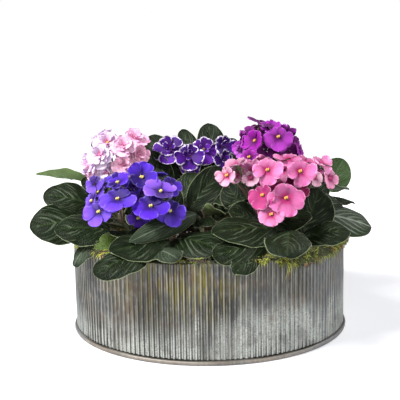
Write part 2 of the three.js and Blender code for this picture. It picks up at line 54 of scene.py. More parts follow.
def aimed(place, aim):
    """Matrix that stands an object at a place, looking along its own -Z axis at its aim."""
    facing = (Vector(aim) - Vector(place)).to_track_quat("-Z", "Y").to_matrix().to_4x4()
    return Matrix.Translation(place) @ facing


camera = bpy.data.objects.new("camera", bpy.data.cameras.new("camera"))
camera.data.lens = LENS_MM
camera.data.sensor_width = 36
camera.matrix_world = aimed(CAMERA_AT, CAMERA_AIM) @ Matrix.Rotation(CAMERA_ROLL, 4, "Z")
scene.collection.objects.link(camera)
scene.camera = camera


def soft_lamp(name, place, aim, width, power):
    """Square lamp of a given width in metres and power in watts at a place, facing its aim."""
    lamp = bpy.data.objects.new(name, bpy.data.lights.new(name, "AREA"))
    lamp.data.size = width
    lamp.data.energy = power
    lamp.matrix_world = aimed(place, aim)
    scene.collection.objects.link(lamp)


soft_lamp("lamp_high_left", (-0.85, -0.55, 1.15), (0, 0, 0.1), 0.5, 37)
soft_lamp("lamp_high_right", (1.0, 0.35, 1.1), (0, 0, 0.15), 0.6, 12)
soft_lamp("lamp_front", (0.3, -1.9, 0.7), (0, 0, 0.12), 0.9, 11)
soft_lamp("lamp_low_right", (1.5, -0.7, 0.3), (0.1, 0, 0.08), 0.7, 4)


class Field:
    """Number, colour or place that varies over a surface: one output of a shader node."""

    def __init__(self, socket):
        self.socket = socket
        self.tree = socket.id_data

    def maths(self, operation, *others):
        """Result of one arithmetic step on this field and the others."""
        return field(self.tree, "Math", dict(enumerate((self, *others))), operation=operation)

    def __add__(self, other):
        return self.maths("ADD", other)

    def __mul__(self, other):
        return self.maths("MULTIPLY", other)

    def axis(self, number):
        """One of the three numbers of a place."""
        return field(self.tree, "SeparateXYZ", {0: self}, number)


def feed(made, inputs):
    """Gives a node its inputs by name or number: a value, or a field to join."""
    for key, value in inputs.items():
        if isinstance(value, Field):
            value.tree.links.new(value.socket, made.inputs[key])
        else:
            made.inputs[key].default_value = value


def node(tree, kind, inputs, **settings):
    """New shader node with its inputs and its settings."""
    made = tree.nodes.new("ShaderNode" + kind)
    for key, value in settings.items():
        setattr(made, key, value)
    feed(made, inputs)
    return made


def field(tree, kind, inputs, output=0, **settings):
    """One output of a new shader node, by name or number."""
    return Field(node(tree, kind, inputs, **settings).outputs[output])


def between(value, low, high):
    """0 where the value is at low, 1 where it is at high, and a soft step between them."""
    inputs = {"Value": value, "From Min": low, "From Max": high}
    return field(value.tree, "MapRange", inputs, interpolation_type="SMOOTHSTEP")


def scaled(value, low, high):
    """A value from 0 to 1, stretched to run from low to high."""
    return field(value.tree, "MapRange", {"Value": value, "To Min": low, "To Max": high})


def blend(share, first, second):
    """The first colour where share is 0 and the second where it is 1."""
    first, second = [c if isinstance(c, Field) else (*c, 1) for c in (first, second)]
    return field(share.tree, "Mix", {0: share, 6: first, 7: second}, 2, data_type="RGBA")


def noise(place, pitch, detail=4, stretch=(1, 1, 1)):
    """Noise from 0 to 1 whose lumps are about pitch metres wide. A stretch below 1 draws them out
    along its axis."""
    size = tuple(s / pitch for s in stretch)
    lumps_at = field(place.tree, "Mapping", {"Vector": place, "Scale": size})
    return field(place.tree, "TexNoise", {"Vector": lumps_at, "Scale": 1.0, "Detail": detail})


class Finish:
    """New material with one shader. Its place is the point in the pot's frame."""

    def __init__(self, name, roughness, metallic=0.0, sheen=0.0, specular=0.5):
        self.material = bpy.data.materials.new(name)
        self.material.use_nodes = True
        self.tree = self.material.node_tree
        self.tree.nodes.clear()
        inputs = {"Roughness": roughness, "Metallic": metallic}
        inputs |= {"Sheen Weight": sheen, "Specular IOR Level": specular}
        self.shader = node(self.tree, "BsdfPrincipled", inputs)
        node(self.tree, "OutputMaterial", {"Surface": Field(self.shader.outputs[0])})
        self.place = field(self.tree, "TexCoord", {}, "Object")

    def mark(self, name, output="Fac"):
        """Number or colour that a mesh carries at its points."""
        return field(self.tree, "Attribute", {}, output, attribute_name=name)

    def shares(self, name):
        """The two numbers of a UV map."""
        flat = field(self.tree, "UVMap", {}, uv_map=name)
        return flat.axis(0), flat.axis(1)

    def done(self, colour, height=None, distance=0.0, strength=1.0):
        """The material, once it has its colour, and a bump where there is a height from 0 to 1
        over a distance in metres."""
        feed(self.shader, {"Base Color": colour})
        if height is not None:
            bump = {"Height": height, "Distance": distance, "Strength": strength}
            feed(self.shader, {"Normal": field(self.tree, "Bump", bump)})
        return self.material


sky = bpy.data.worlds.new("white_surround")
scene.world = sky
sky.use_nodes = True
sky.node_tree.nodes.clear()
glow = scaled(field(sky.node_tree, "LightPath", {}, "Is Camera Ray"), SURROUND_LIGHT, 1.0)
white = field(sky.node_tree, "Background", {"Color": (1, 1, 1, 1), "Strength": glow})
node(sky.node_tree, "OutputWorld", {"Surface": white})

floor_mesh = bpy.data.meshes.new("floor")
corners = [(-FLOOR_REACH, -FLOOR_REACH, 0), (FLOOR_REACH, -FLOOR_REACH, 0)]
corners += [(FLOOR_REACH, FLOOR_REACH, 0), (-FLOOR_REACH, FLOOR_REACH, 0)]
floor_mesh.from_pydata(corners, [], [(0, 1, 2, 3)])
floor = bpy.data.objects.new("floor", floor_mesh)
scene.collection.objects.link(floor)
paper = Finish("white_paper", 0.9, specular=0.1)
from_middle = field(paper.tree, "VectorMath", {0: paper.place}, "Value", operation="LENGTH")
shine = between(from_middle, 0.25, 1.1) * 0.64 + 0.35
seen = field(paper.tree, "LightPath", {}, "Is Camera Ray")
feed(paper.shader, {"Emission Color": (1, 1, 1, 1), "Emission Strength": shine * seen})
floor_mesh.materials.append(paper.done((0.76, 0.765, 0.81, 1)))

# Pot wall
# A band of thin galvanised sheet, pressed into narrow upright ribs and bent into a round drum.
# Years of damp have left dull grey zinc, a chalky band near the foot and brown and olive streaks.
WALL_RADIUS = 160 * MM
POT_HEIGHT = 105 * MM
RIB_COUNT = 174
RIB_DEPTH = 1.6 * MM
INNER_RADIUS = 157 * MM
WALL_FOOT = 5.3
RIB_CORNERS = 10
RIB_FLATNESS = 1.6
STAIN_AT = (-0.035, -0.15, 0.075)
CHALK_WHITE = (0.61, 0.64, 0.585)
# Near-black brown of the painted shade on the sides of the ribs and in the seam at the foot.
SHADE_BROWN = (0.03, 0.028, 0.025)


def grid_faces(rows, columns, join_rows, join_columns):
    """Quads between the points of a grid, whose last row or column may join its first."""
    i = np.arange(rows if join_rows else rows - 1)[:, None]
    j = np.arange(columns if join_columns else columns - 1)[None, :]
    below, beside = (i + 1) % rows, (j + 1) % columns
    corners = [i * columns + j, i * columns + beside, below * columns + beside, below * columns + j]
    return np.stack(np.broadcast_arrays(*corners), axis=-1).reshape(-1, 4)


def polar(radius, turn, height):
    """Points (radius cos turn, radius sin turn, height) round the Z axis."""
    shape = np.broadcast_arrays(radius * np.cos(turn), radius * np.sin(turn), height)
    return np.stack(shape, axis=-1)


def lumps(points, pitch, seed, waves=10):
    """Soft lumps from about -1 to 1: a sum of waves of a given pitch, each in its own direction."""
    draw = np.random.default_rng(seed)
    ways = draw.normal(size=(waves, 3))
    ways /= np.linalg.norm(ways, axis=1, keepdims=True)
    ways *= 2 * np.pi / pitch * draw.uniform(0.6, 1.7, (waves, 1))
    shift = draw.uniform(0, 2 * np.pi, waves)
    return np.sin(points @ ways.T + shift).sum(axis=-1) * 1.6 / waves**0.8


def new_piece(name, points, faces, material, marks=None, replaced=(), slot=None):
    """Mesh piece in the pot's frame from points (..., 3) and a list of face arrays, in one
    material or several. marks holds named values for each point, of one, two (a UV map) or three
    numbers. A face takes the material whose number its first point has under "material"."""
    mesh = bpy.data.meshes.new(name)
    points = np.asarray(points, dtype=np.float32).reshape(-1, 3)
    faces = [part for part in faces if len(part)]
    flat = np.concatenate([part.ravel() for part in faces]).astype(np.int32)
    sizes = np.concatenate([np.full(len(part), part.shape[1]) for part in faces])
    starts = np.concatenate([[0], np.cumsum(sizes)[:-1]]).astype(np.int32)
    mesh.vertices.add(len(points))
    mesh.vertices.foreach_set("co", points.ravel())
    mesh.loops.add(len(flat))
    mesh.loops.foreach_set("vertex_index", flat)
    mesh.polygons.add(len(sizes))
    mesh.polygons.foreach_set("loop_start", starts)
    for each in material if isinstance(material, list) else [material]:
        mesh.materials.append(each)
    marks = dict(marks or {})
    if "material" in marks:
        numbers = marks.pop("material")[flat[starts]]
        mesh.polygons.foreach_set("material_index", numbers.astype(np.int32))
    mesh.update(calc_edges=True)
    mesh.polygons.foreach_set("use_smooth", np.full(len(sizes), True))
    for mark, values in marks.items():
        values = np.asarray(values, dtype=np.float32)
        if values.ndim == 1:
            mesh.attributes.new(mark, "FLOAT", "POINT").data.foreach_set("value", values)
        elif values.shape[1] == 2:
            mesh.uv_layers.new(name=mark).data.foreach_set("uv", values[flat].ravel())
        else:
            layer = mesh.attributes.new(mark, "FLOAT_VECTOR", "POINT")
            layer.data.foreach_set("vector", values.ravel())
    mesh.validate()
    made = bpy.data.objects.new(name, mesh)
    scene.collection.objects.link(made)
    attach(made, "root")
    if replaced:
        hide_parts(*replaced)


def weathered_zinc(name, dark, pale, stain, chalky):
    """Dull zinc: upright streaks of two greys that keep to the ribs, pale crests that are partly
    rubbed wear and partly a painted highlight, and a chalk band near the foot, both as strong as
    chalky from 0 to 1, stains that run down from the rim, and painted shade where the groove mark
    is one half: on the sides of the ribs and in the seam at the foot."""
    surface = Finish(name, 0.5, metallic=0.3, specular=0.4)
    place = surface.place
    height = place.axis(2)
    groove = surface.mark("groove")
    away = {0: place, 1: STAIN_AT}
    away = field(surface.tree, "VectorMath", away, "Value", operation="DISTANCE")
    patches = noise(place, 0.075, 5)
    cloud = noise(place, 0.04, 4, (1, 1, 1.6))
    mottled = noise(place, 0.013, 5, (1, 1, 0.8))
    runs = noise(place, 0.011, 5, (1, 1, 0.16))
    fine = noise(place, 0.0035, 4, (1, 1, 0.12))
    broken = noise(place, 0.0035, 3, (1, 1, 0.45))
    grain = noise(place, 0.0014, 4)
    streaks = (noise(place, 0.0042, 3, (1, 1, 0.06)) + surface.mark("rib")) * 0.5
    zinc = blend(between(streaks, 0.3, 0.7), dark, pale)
    zinc = blend(between(patches, 0.45, 0.6) * 0.5, zinc, (0.105, 0.112, 0.12))
    zinc = blend(between(cloud, 0.5, 0.62) * 0.5, zinc, (0.15, 0.12, 0.09))
    zinc = blend(between(away, 0.11, 0.19) * 0.5, zinc, (0.24, 0.265, 0.29))
    spotted = height + runs * -0.085 + place.axis(0).maths("MINIMUM", 0.015) * -0.24
    band = between(spotted, 0.021, -0.015).maths("MAXIMUM", between(height, 0.045, 0.015) * 0.75)
    chalk = band * between(grain, 0.2, 0.6) * between(streaks, 0.22, 0.5)
    chalk = chalk * (between(mottled, 0.5, 0.64) * -0.5 + 1.0)
    zinc = blend(chalk * chalky, zinc, CHALK_WHITE)
    olive = between(fine, 0.44, 0.62) * between(height, 0.02, 0.085)
    zinc = blend(olive * (between(away, 0.09, 0.02) * 0.85 + 0.15), zinc, stain)
    rusty = between(streaks, 0.5, 0.66) * between(cloud, 0.47, 0.6) * between(height, 0.012, 0.05)
    zinc = blend(rusty * 0.45, zinc, (0.17, 0.11, 0.065))
    # Pale crests: partly rubbed wear and partly a painted highlight along the top of each rib.
    rubbed_and_highlight = between(groove, 0.12, 0.0) * between(fine, 0.36, 0.6)
    zinc = blend(rubbed_and_highlight * (chalky * 0.4), zinc, (0.5, 0.5, 0.45))
    zinc = blend(between(broken, 0.5, 0.64) * 0.34, zinc, (0.32, 0.31, 0.275))
    # Painted shade: where the groove mark is one half, on the sides of the ribs and in the seam at
    # the foot, the colour darkens toward a near-black brown.
    side = (groove + -0.5).maths("ABSOLUTE")
    painted_shade = between(side, 0.47, 0.25) * (between(patches, 0.44, 0.56) * -0.5 + 0.85)
    zinc = blend(painted_shade, zinc, SHADE_BROWN)
    feed(surface.shader, {"Roughness": scaled(grain, 0.38, 0.66)})
    return surface.done(zinc, grain + runs, 0.0005, 0.5)


rows = np.concatenate([[WALL_FOOT, 6.0, 7.2], np.linspace(10, 101, 9), [103.6, 104.6]]) * MM
wall_profile = [(WALL_RADIUS, 1.0, z) for z in rows]
wall_profile += [(159.4 * MM, 0.8, POT_HEIGHT), (158 * MM, 0.15, POT_HEIGHT)]
wall_profile += [(INNER_RADIUS, 0.0, z * MM) for z in (104.2, 60, WALL_FOOT)]
base_radius, pressed, level = np.array(wall_profile).T
turn = np.linspace(0, 2 * np.pi, RIB_COUNT * RIB_CORNERS, endpoint=False)[:, None]
wave = np.tanh(RIB_FLATNESS * np.cos(RIB_COUNT * turn)) / math.tanh(RIB_FLATNESS)
groove = (0.5 - 0.5 * wave) * pressed
wall_points = polar(base_radius - RIB_DEPTH * groove, turn, level)
dent = 0.3 * MM * (1 + lumps(wall_points, 70 * MM, 3)) * (pressed > 0)
wall_points[..., :2] *= (1 - np.clip(dent, 0, None) / WALL_RADIUS)[..., None]
wall_zinc = weathered_zinc(
    "weathered_zinc", (0.048, 0.048, 0.044), (0.17, 0.166, 0.143), (0.21, 0.175, 0.03), 0.92
)
rib_tone = np.random.default_rng(5).uniform(0.15, 0.85, RIB_COUNT)
rib = rib_tone[np.round(np.arange(len(turn)) / RIB_CORNERS).astype(int) % RIB_COUNT]
# The foot of the wall takes a groove mark of one half, which paints a line of shade along the seam
# above the hoop.
groove_and_seam_shade = np.where((level < 5.6 * MM) & (pressed > 0), 0.5, groove)
new_piece(
    "ribbed_wall",
    wall_points,
    [grid_faces(len(turn), len(level), True, True)[:, ::-1]],
    wall_zinc,
    {"groove": groove_and_seam_shade.ravel(), "rib": np.repeat(rib, len(level))},
    ["pot_wall"],
    "wall_steel",
)

# Pot base and hoop
# One pressed disc of the same sheet, whose edge is rolled into the round hoop that shows below
# the ribs. The roll is rubbed brown.
HOOP_RADIUS = 162.5 * MM
HOOP_HEIGHT = 5 * MM
BASE_SHEET = 1.5 * MM
BASE_CORNERS = 240


def turned_rings(profile, corners):
    """Rings of points (stations, corners, 3) round the Z axis from radius and height pairs."""
    radius, height = np.array(profile).T[:, :, None]
    return polar(radius, np.linspace(0, 2 * np.pi, corners, endpoint=False), height)


def skin(rings):
    """Closed skin over rings of points (stations, corners, 3), with a fan over each end: returns
    the points and the faces."""
    stations, corners = rings.shape[:2]
    points = np.concatenate([rings.reshape(-1, 3), rings[:1].mean(axis=1), rings[-1:].mean(axis=1)])
    j = np.arange(corners)
    beside = (j + 1) % corners
    first = np.stack([np.full(corners, stations * corners), beside, j], axis=-1)
    base = (stations - 1) * corners
    last = np.stack([np.full(corners, stations * corners + 1), base + j, base + beside], axis=-1)
    return points, [grid_faces(stations, corners, False, True), np.concatenate([first, last])]


roll_centre = HOOP_RADIUS - HOOP_HEIGHT / 2
base_profile = [(60 * MM, 0.0), (120 * MM, 0.0)]
for angle in np.linspace(-0.5, 0.72, 13) * np.pi:
    out, up = HOOP_HEIGHT / 2 * math.cos(angle), HOOP_HEIGHT / 2 * (1 + math.sin(angle))
    base_profile.append((roll_centre + out, up))
base_profile += [(156 * MM, 4 * MM), (155 * MM, BASE_SHEET), (60 * MM, BASE_SHEET)]
base_points, base_faces = skin(turned_rings(base_profile, BASE_CORNERS))
# The top of the roll takes a groove mark of one half, which paints a line of shade along the seam
# under the wall.
seam_shade_mark = 0.5 * np.clip((base_points[:, 2] - 4.4 * MM) / (0.5 * MM), 0, 1)
hoop_zinc = weathered_zinc(
    "rubbed_zinc", (0.2, 0.168, 0.135), (0.31, 0.27, 0.225), (0.17, 0.12, 0.07), 0.04
)
new_piece(
    "rolled_hoop",
    base_points,
    base_faces,
    hoop_zinc,
    {"groove": seam_shade_mark, "rib": np.full(len(base_points), 0.5)},
    ["pot_base"],
    "hoop_steel",
)

# Growing mix
# Dark damp peat fills the pot to just under the rim, with crumbs of bark and white grains of
# perlite lying on it.
SOIL_LEVEL = 94 * MM
SOIL_RADIUS = 156.4 * MM
SOIL_CORNERS = 120
CRUMBS = 420
CRUMB_SIZES = (0.8, 2.0)
CRUMBS_WITHIN = 118 * MM
WHITE_CRUMBS_FROM = 0.72


def random_turns(draw, count):
    """Matrices of random turns from random unit quaternions."""
    turns = draw.normal(size=(4, count))
    w, x, y, z = turns / np.linalg.norm(turns, axis=0)
    rows = [
        [1 - 2 * (y * y + z * z), 2 * (x * y - w * z), 2 * (x * z + w * y)],
        [2 * (x * y + w * z), 1 - 2 * (x * x + z * z), 2 * (y * z - w * x)],
        [2 * (x * z - w * y), 2 * (y * z + w * x), 1 - 2 * (x * x + y * y)],
    ]
    return np.moveaxis(np.array(rows), 2, 0)


def copies_of(faces, count, step):
    """Faces of count copies of a shape whose points are step apart."""
    shift = (np.arange(count) * step)[:, None, None]
    return [(part[None] + shift).reshape(-1, part.shape[1]) for part in faces]


soil_draw = np.random.default_rng(7)
soil_rings = [(r * MM, SOIL_LEVEL) for r in np.linspace(2, 155, 52)]
soil_profile = soil_rings + [(SOIL_RADIUS, 92 * MM), (SOIL_RADIUS, 6 * MM)]
soil_profile += [(150 * MM, 2 * MM), (2 * MM, 2 * MM)]
soil_shape = turned_rings(soil_profile, SOIL_CORNERS)
relief = lumps(soil_shape, 9 * MM, 11) + 0.6 * lumps(soil_shape, 3.6 * MM, 12)
soil_shape[: len(soil_rings), :, 2] += 1.1 * MM * relief[: len(soil_rings)] - 1.2 * MM
peat = Finish("damp_peat", 0.95, specular=0.2)
damp = between(noise(peat.place, 0.004, 5), 0.35, 0.7)
peat_brown = blend(damp, (0.012, 0.008, 0.006), (0.06, 0.038, 0.024))
new_piece(
    "growing_mix",
    *skin(soil_shape[::-1]),
    peat.done(peat_brown, noise(peat.place, 0.0022, 5), 0.0012),
    replaced=["soil"],
    slot="growing_mix",
)

crumb_rings = turned_rings([(0.55, -0.75), (1.0, -0.2), (0.9, 0.45), (0.4, 0.85)], 6)
crumb_shape, crumb_faces = skin(crumb_rings)
crumb_turn = soil_draw.uniform(0, 2 * np.pi, CRUMBS)
crumb_reach = CRUMBS_WITHIN * np.sqrt(soil_draw.uniform(0, 1, CRUMBS))
crumb_places = polar(crumb_reach, crumb_turn, SOIL_LEVEL + 0.2 * MM)
crumb_sizes = soil_draw.uniform(*CRUMB_SIZES, CRUMBS) * MM
crumb_points = np.einsum("nij,kj->nki", random_turns(soil_draw, CRUMBS), crumb_shape)
crumb_points = crumb_points * crumb_sizes[:, None, None] + crumb_places[:, None, :]
crumb_tone = (soil_draw.uniform(0, 1, CRUMBS) > WHITE_CRUMBS_FROM).astype(float)
crumb = Finish("bark_and_perlite", 0.9, specular=0.2)
crumb_grain = noise(crumb.place, 0.0015)
bark = blend(crumb_grain, (0.03, 0.018, 0.011), (0.12, 0.07, 0.04))
perlite = blend(crumb_grain, (0.42, 0.4, 0.35), (0.7, 0.68, 0.62))
new_piece(
    "crumbs_on_mix",
    crumb_points,
    copies_of(crumb_faces, CRUMBS, len(crumb_shape)),
    crumb.done(blend(crumb.mark("tone"), bark, perlite)),
    {"tone": np.repeat(crumb_tone, len(crumb_shape))},
    slot="growing_mix",
)

# Moss mat
# Living sheet moss, laid round the edge of the soil to hide it. It is a cushion of short curled
# shoots, yellow-green where it grows and brown where it has dried.
MOSS_INNER = 112 * MM
MOSS_EDGE = 155 * MM
TUFTS = 760
SHOOTS_IN_TUFT = 8
SHOOT_LENGTHS = (3, 6.5)
SHOOT_WIDTHS = (0.45, 0.8)


def moss_finish():
    """Moss: green to straw brown by patch and by tuft, with painted shade that darkens each shoot
    toward its root.
    """
    surface = Finish("sheet_moss", 0.85, sheen=0.25, specular=0.25)
    tuft = surface.mark("tone")
    shade = tuft.maths("POWER", 2.0)
    green = blend(shade, (0.025, 0.045, 0.003), (0.74, 0.78, 0.08))
    brown = blend(shade, (0.04, 0.014, 0.006), (0.68, 0.34, 0.12))
    dried = noise(surface.place, 0.02) + (tuft * 40).maths("SINE") * 0.09
    colour = blend(between(dried, 0.53, 0.6), green, brown)
    # Painted shade: near black at each shoot's root, fading out toward its tip.
    lit = between(surface.mark("tip"), 0.0, 0.55)
    return surface.done(blend(lit, (0.012, 0.012, 0.004), colour))


def shoots(draw, roots, ways, lengths, widths, droop, stations=4, corners=3):
    """Tapered curled shoots as points (n, stations, corners, 3): each runs from its root along its
    way, curls to one side and droops as the square of the distance along it."""
    along = np.linspace(0, 1, stations)
    ways = ways / np.linalg.norm(ways, axis=1, keepdims=True)
    aside = np.cross(ways, draw.normal(size=ways.shape))
    aside /= np.linalg.norm(aside, axis=1, keepdims=True)
    across = np.cross(ways, aside)
    curl = (draw.uniform(0, 0.45, len(roots)) * lengths)[:, None] * along**2
    spine = roots[:, None] + ways[:, None] * (lengths[:, None] * along)[..., None]
    spine = spine + aside[:, None] * curl[..., None]
    spine[..., 2] -= (droop * lengths)[:, None] * along**2
    angle = np.linspace(0, 2 * np.pi, corners, endpoint=False)[:, None]
    ring = aside[:, None] * np.cos(angle) + across[:, None] * np.sin(angle)
    taper = widths[:, None] * (1.02 - along) ** 0.7
    return spine[:, :, None] + ring[:, None] * taper[..., None, None]


def shoot_piece(name, groups, material, slot):
    """One piece of many shoots. Each group is an array (n, stations, corners, 3) and the tone of
    each shoot from 0 to 1."""
    points, faces, tips, tones, start = [], [], [], [], 0
    for group, tone in groups:
        count, stations, corners = group.shape[:3]
        _, part = skin(group[0])
        ends = np.stack([group[:, 0].mean(axis=1), group[:, -1].mean(axis=1)], axis=1)
        shaped = np.concatenate([group.reshape(count, -1, 3), ends], axis=1)
        step = shaped.shape[1]
        points.append(shaped.reshape(-1, 3))
        faces += [f + start for f in copies_of(part, count, step)]
        along = np.concatenate([np.repeat(np.linspace(0, 1, stations), corners), [0, 1]])
        tips.append(np.tile(along, count))
        tones.append(np.repeat(tone, step))
        start += count * step
    marks = {"tip": np.concatenate(tips), "tone": np.concatenate(tones)}
    new_piece(name, np.concatenate(points), faces, material, marks, slot=slot)


def moss_bed(name, points, faces, replaced):
    """Dense moss under the shoots, darkened by the painted shade of a point near a shoot's root."""
    count = points.size // 3
    marks = {"tip": np.full(count, 0.2), "tone": np.full(count, 0.3)}
    new_piece(name, points, faces, moss, marks, replaced, "moss")


moss = moss_finish()
moss_draw = np.random.default_rng(19)
mat_profile = [(114, 94.2), (134, 94.2), (154.5, 94.2), (155.5, 98), (154, 101.6)]
mat_profile += [(146, 103), (134, 103), (122, 101), (114, 97)]
mat_radius, mat_height = np.array(mat_profile).T * MM
mat_turn = np.linspace(0, 2 * np.pi, 260, endpoint=False)[:, None]
mat_points = polar(mat_radius, mat_turn, mat_height)
mat_points[:, 4:, 2] += 1.3 * MM * lumps(mat_points, 11 * MM, 21)[:, 4:]
mat_faces = grid_faces(len(mat_turn), len(mat_radius), True, True)[:, ::-1]
moss_bed("moss_cushion", mat_points, [mat_faces], ["moss_mat"])

tuft_turn = moss_draw.uniform(0, 2 * np.pi, TUFTS)
tuft_reach = moss_draw.uniform(MOSS_INNER + 2 * MM, MOSS_EDGE, TUFTS)
tuft_places = polar(tuft_reach, tuft_turn, 101 * MM)
tuft_places[:, 2] -= 5 * MM * np.clip((124 * MM - tuft_reach) / (12 * MM), 0, 1)
root = np.repeat(tuft_places, SHOOTS_IN_TUFT, axis=0)
root[:, :2] += moss_draw.normal(0, 1.1 * MM, (len(root), 2))
way = moss_draw.normal(0, 0.75, (len(root), 3)) + (0, 0, 0.9)
way[:, 2] = np.abs(way[:, 2])
shoot_lengths = moss_draw.uniform(*SHOOT_LENGTHS, len(root)) * MM
shoot_widths = moss_draw.uniform(*SHOOT_WIDTHS, len(root)) * MM
shoot_droops = moss_draw.uniform(0, 0.45, len(root))
mat_shoots = shoots(moss_draw, root, way, shoot_lengths, shoot_widths, shoot_droops, stations=3)
mat_tones = np.repeat(moss_draw.uniform(0, 1, TUFTS), SHOOTS_IN_TUFT)
shoot_piece("moss_shoots", [(mat_shoots, mat_tones)], moss, "moss")

# Moss clump
# A thicker wad of the same moss lies over the rim at the right and hangs down outside the wall,
# with loose brown stems in it. A few stems hang over the rim at the left and the front.
CLUMP_FROM = -64
CLUMP_TO = 6
CLUMP_HANG = 8 * MM
CLUMP_MIDDLE = math.radians(-49)
CLUMP_SPREAD = math.radians(16)
CLUMP_INSIDE = 14 * MM
WISPS_IN_TUFT = 7
WISP_REACH = 12 * MM
WISP_ROOT_OUT = 1.2 * MM
WISP_ROOT_UP = 3 * MM
TUFT_TURN = 0.011
TUFT_TRAVEL = 0.05
WISPS = [
    (2900, CLUMP_FROM, CLUMP_TO, -0.9, 0.95, 6, 0.68, 0.4),
    (420, -76, -62, -0.9, 0.5, 6, 0.55, 0.4),
    (90, CLUMP_FROM, -25, -0.3, 0.8, 15, 0.35, 0.7),
    (420, -155, -132, -0.8, 0.5, 8, 0.55, 0.6),
    (22, -150, -136, -0.2, 0.2, 24, 0.28, 1.2),
    (180, -106, -76, -0.8, 0.1, 6, 0.5, 0.6),
    (14, -100, -84, -0.2, 0.2, 20, 0.28, 1.1),
]


def clump_hang(turn):
    """How far the clump hangs at a turn round the rim, as a share of the most: one long lobe."""
    return 0.12 + 0.88 * np.exp(-(((turn - CLUMP_MIDDLE) / CLUMP_SPREAD) ** 2))


def over_rim(turn, travel):
    """Points on the path of moss over the rim: travel from -1 (14 mm inside it) through 0 (on
    top of it) to 1 (hanging down outside by the clump's hang)."""
    out = np.where(travel < 0, travel * CLUMP_INSIDE, WISP_ROOT_OUT)
    fall = np.clip(travel, 0, 1) * (CLUMP_HANG * clump_hang(turn) + 2 * MM)
    return polar(WALL_RADIUS + out, turn, POT_HEIGHT + WISP_ROOT_UP - fall)


clump_turn = np.linspace(math.radians(CLUMP_FROM), math.radians(CLUMP_TO), 90)[:, None]
clump_taper = clump_hang(clump_turn)
section = [(-17, 0.4), (-9, 0.4), (0.4, 0.4), (0.5, -0.5), (0.5, -0.85), (2, -1.0), (4, -0.8)]
section += [(4.6, -0.4), (3.5, -0.05), (0.5, 4.4), (-7, 5), (-16, 2.2)]
offset, drop = np.array(section).T
clump_radius = WALL_RADIUS + offset * MM * np.where(offset > 0.6, 0.5 + 0.5 * clump_taper, 1)
clump_height = POT_HEIGHT + np.where(drop < 0, drop * CLUMP_HANG * clump_taper, drop * MM)
clump_points = polar(clump_radius, clump_turn, clump_height)
clump_points[..., 2] += 0.9 * MM * lumps(clump_points, 9 * MM, 31) * (np.abs(drop - 0.4) > 0.01)
moss_bed("moss_over_rim", *skin(clump_points[::-1]), ["moss_clump"])


def hanging(draw, count, first, last, travel_from, travel_to, length, width, droop):
    """Shoots in tufts, rooted on the moss over the rim between two turns in degrees, pointing
    outward, up on the rim and down outside, where none ends further out than the wisps' reach.
    Their length and width are in mm. Returns them with the tone of each tuft."""
    tufts = -(-count // WISPS_IN_TUFT)
    spread = draw.normal(0, 1, (2, count))
    turn = draw.uniform(math.radians(first), math.radians(last), tufts)
    travel = draw.uniform(travel_from, travel_to, tufts)
    tone = draw.uniform(0, 1, tufts)
    turn, travel, tone = [np.repeat(v, WISPS_IN_TUFT)[:count] for v in (turn, travel, tone)]
    turn, travel = turn + spread[0] * TUFT_TURN, travel + spread[1] * TUFT_TRAVEL
    upright = np.clip(0.6 - travel * 1.5, -1.1, 1)[:, None] * np.array([0, 0, 1.0])
    ways = polar(1.0, turn, 0.0) * np.clip(0.5 + travel, 0.15, 0.9)[:, None] + upright
    ways += draw.normal(0, 0.55, ways.shape)
    lengths = draw.uniform(0.5, 1.2, count) * length * MM
    widths = draw.uniform(0.6, 1.1, count) * width * MM
    strands = shoots(draw, over_rim(turn, travel), ways, lengths, widths, np.full(count, droop))
    reach = np.linalg.norm(strands[..., :2], axis=-1, keepdims=True)
    beyond = np.clip((reach - WALL_RADIUS) / WISP_REACH, 0, None)
    held = (WALL_RADIUS + WISP_REACH * np.tanh(beyond)) / reach
    strands[..., :2] *= np.where(beyond > 0, held, 1)
    return strands, tone


shoot_piece("moss_wisps", [hanging(moss_draw, *wisps) for wisps in WISPS], moss, "moss")

# Leaves of the blue-flowered plant
# Each leaf is one thick oval blade on a fleshy stalk. The blade is quilted between sunken side
# veins, dark green and velvety above, pale or wine-red below, with a hairy edge that is painted
# pale as a rim light where its hairs catch the light.
CROWN_RADIUS = 9 * MM
CROWN_TOP = 105 * MM
CROWN_FOOT = 84.3 * MM
BLADE_HALF_THICK = 0.8 * MM
BLADE_GRID = (32, 36)
EDGE_HAIRS = 100
TOP_HAIRS = 12
HAIR_LENGTHS = (0.9, 1.9)
HAIR_WIDTH = 0.085 * MM
VEIN_PAIRS = 6.5
NET_PER_METRE = 430.0
VEIN_SWEEP = 0.6
QUILT = 1.5 * MM
DARK_GREEN = (0.0035, 0.0075, 0.002)
GREY_GREEN = (0.02, 0.03, 0.017)
PALE_UNDER = (0.24, 0.31, 0.13)
SILVER_UNDER = (0.2, 0.25, 0.17)
WINE_UNDER = (0.11, 0.018, 0.03)
PLAIN_LEAF = (DARK_GREEN, PALE_UNDER, 0.0)
WINE_FOLD = (DARK_GREEN, WINE_UNDER, 0.0)
SILVER_FOLD = (GREY_GREEN, SILVER_UNDER, 0.4)
LIGHT_LEAF = ((0.075, 0.12, 0.02), (0.14, 0.2, 0.05), 0.0)


def unit(way):
    """The direction of a way, as a length of one."""
    way = np.asarray(way, float)
    return way / np.linalg.norm(way, axis=-1, keepdims=True)


def joined(parts):
    """One set of points, faces and marks from several, each (points, faces, marks)."""
    points, faces, marks, start = [], [], {}, 0
    for part_points, part_faces, part_marks in parts:
        points.append(part_points)
        faces += [face + start for face in part_faces]
        for mark, values in part_marks.items():
            marks.setdefault(mark, []).append(values)
        start += len(part_points)
    by_size = [np.concatenate([f for f in faces if f.shape[1] == n]) for n in (3, 4)]
    return np.concatenate(points), by_size, {m: np.concatenate(v) for m, v in marks.items()}


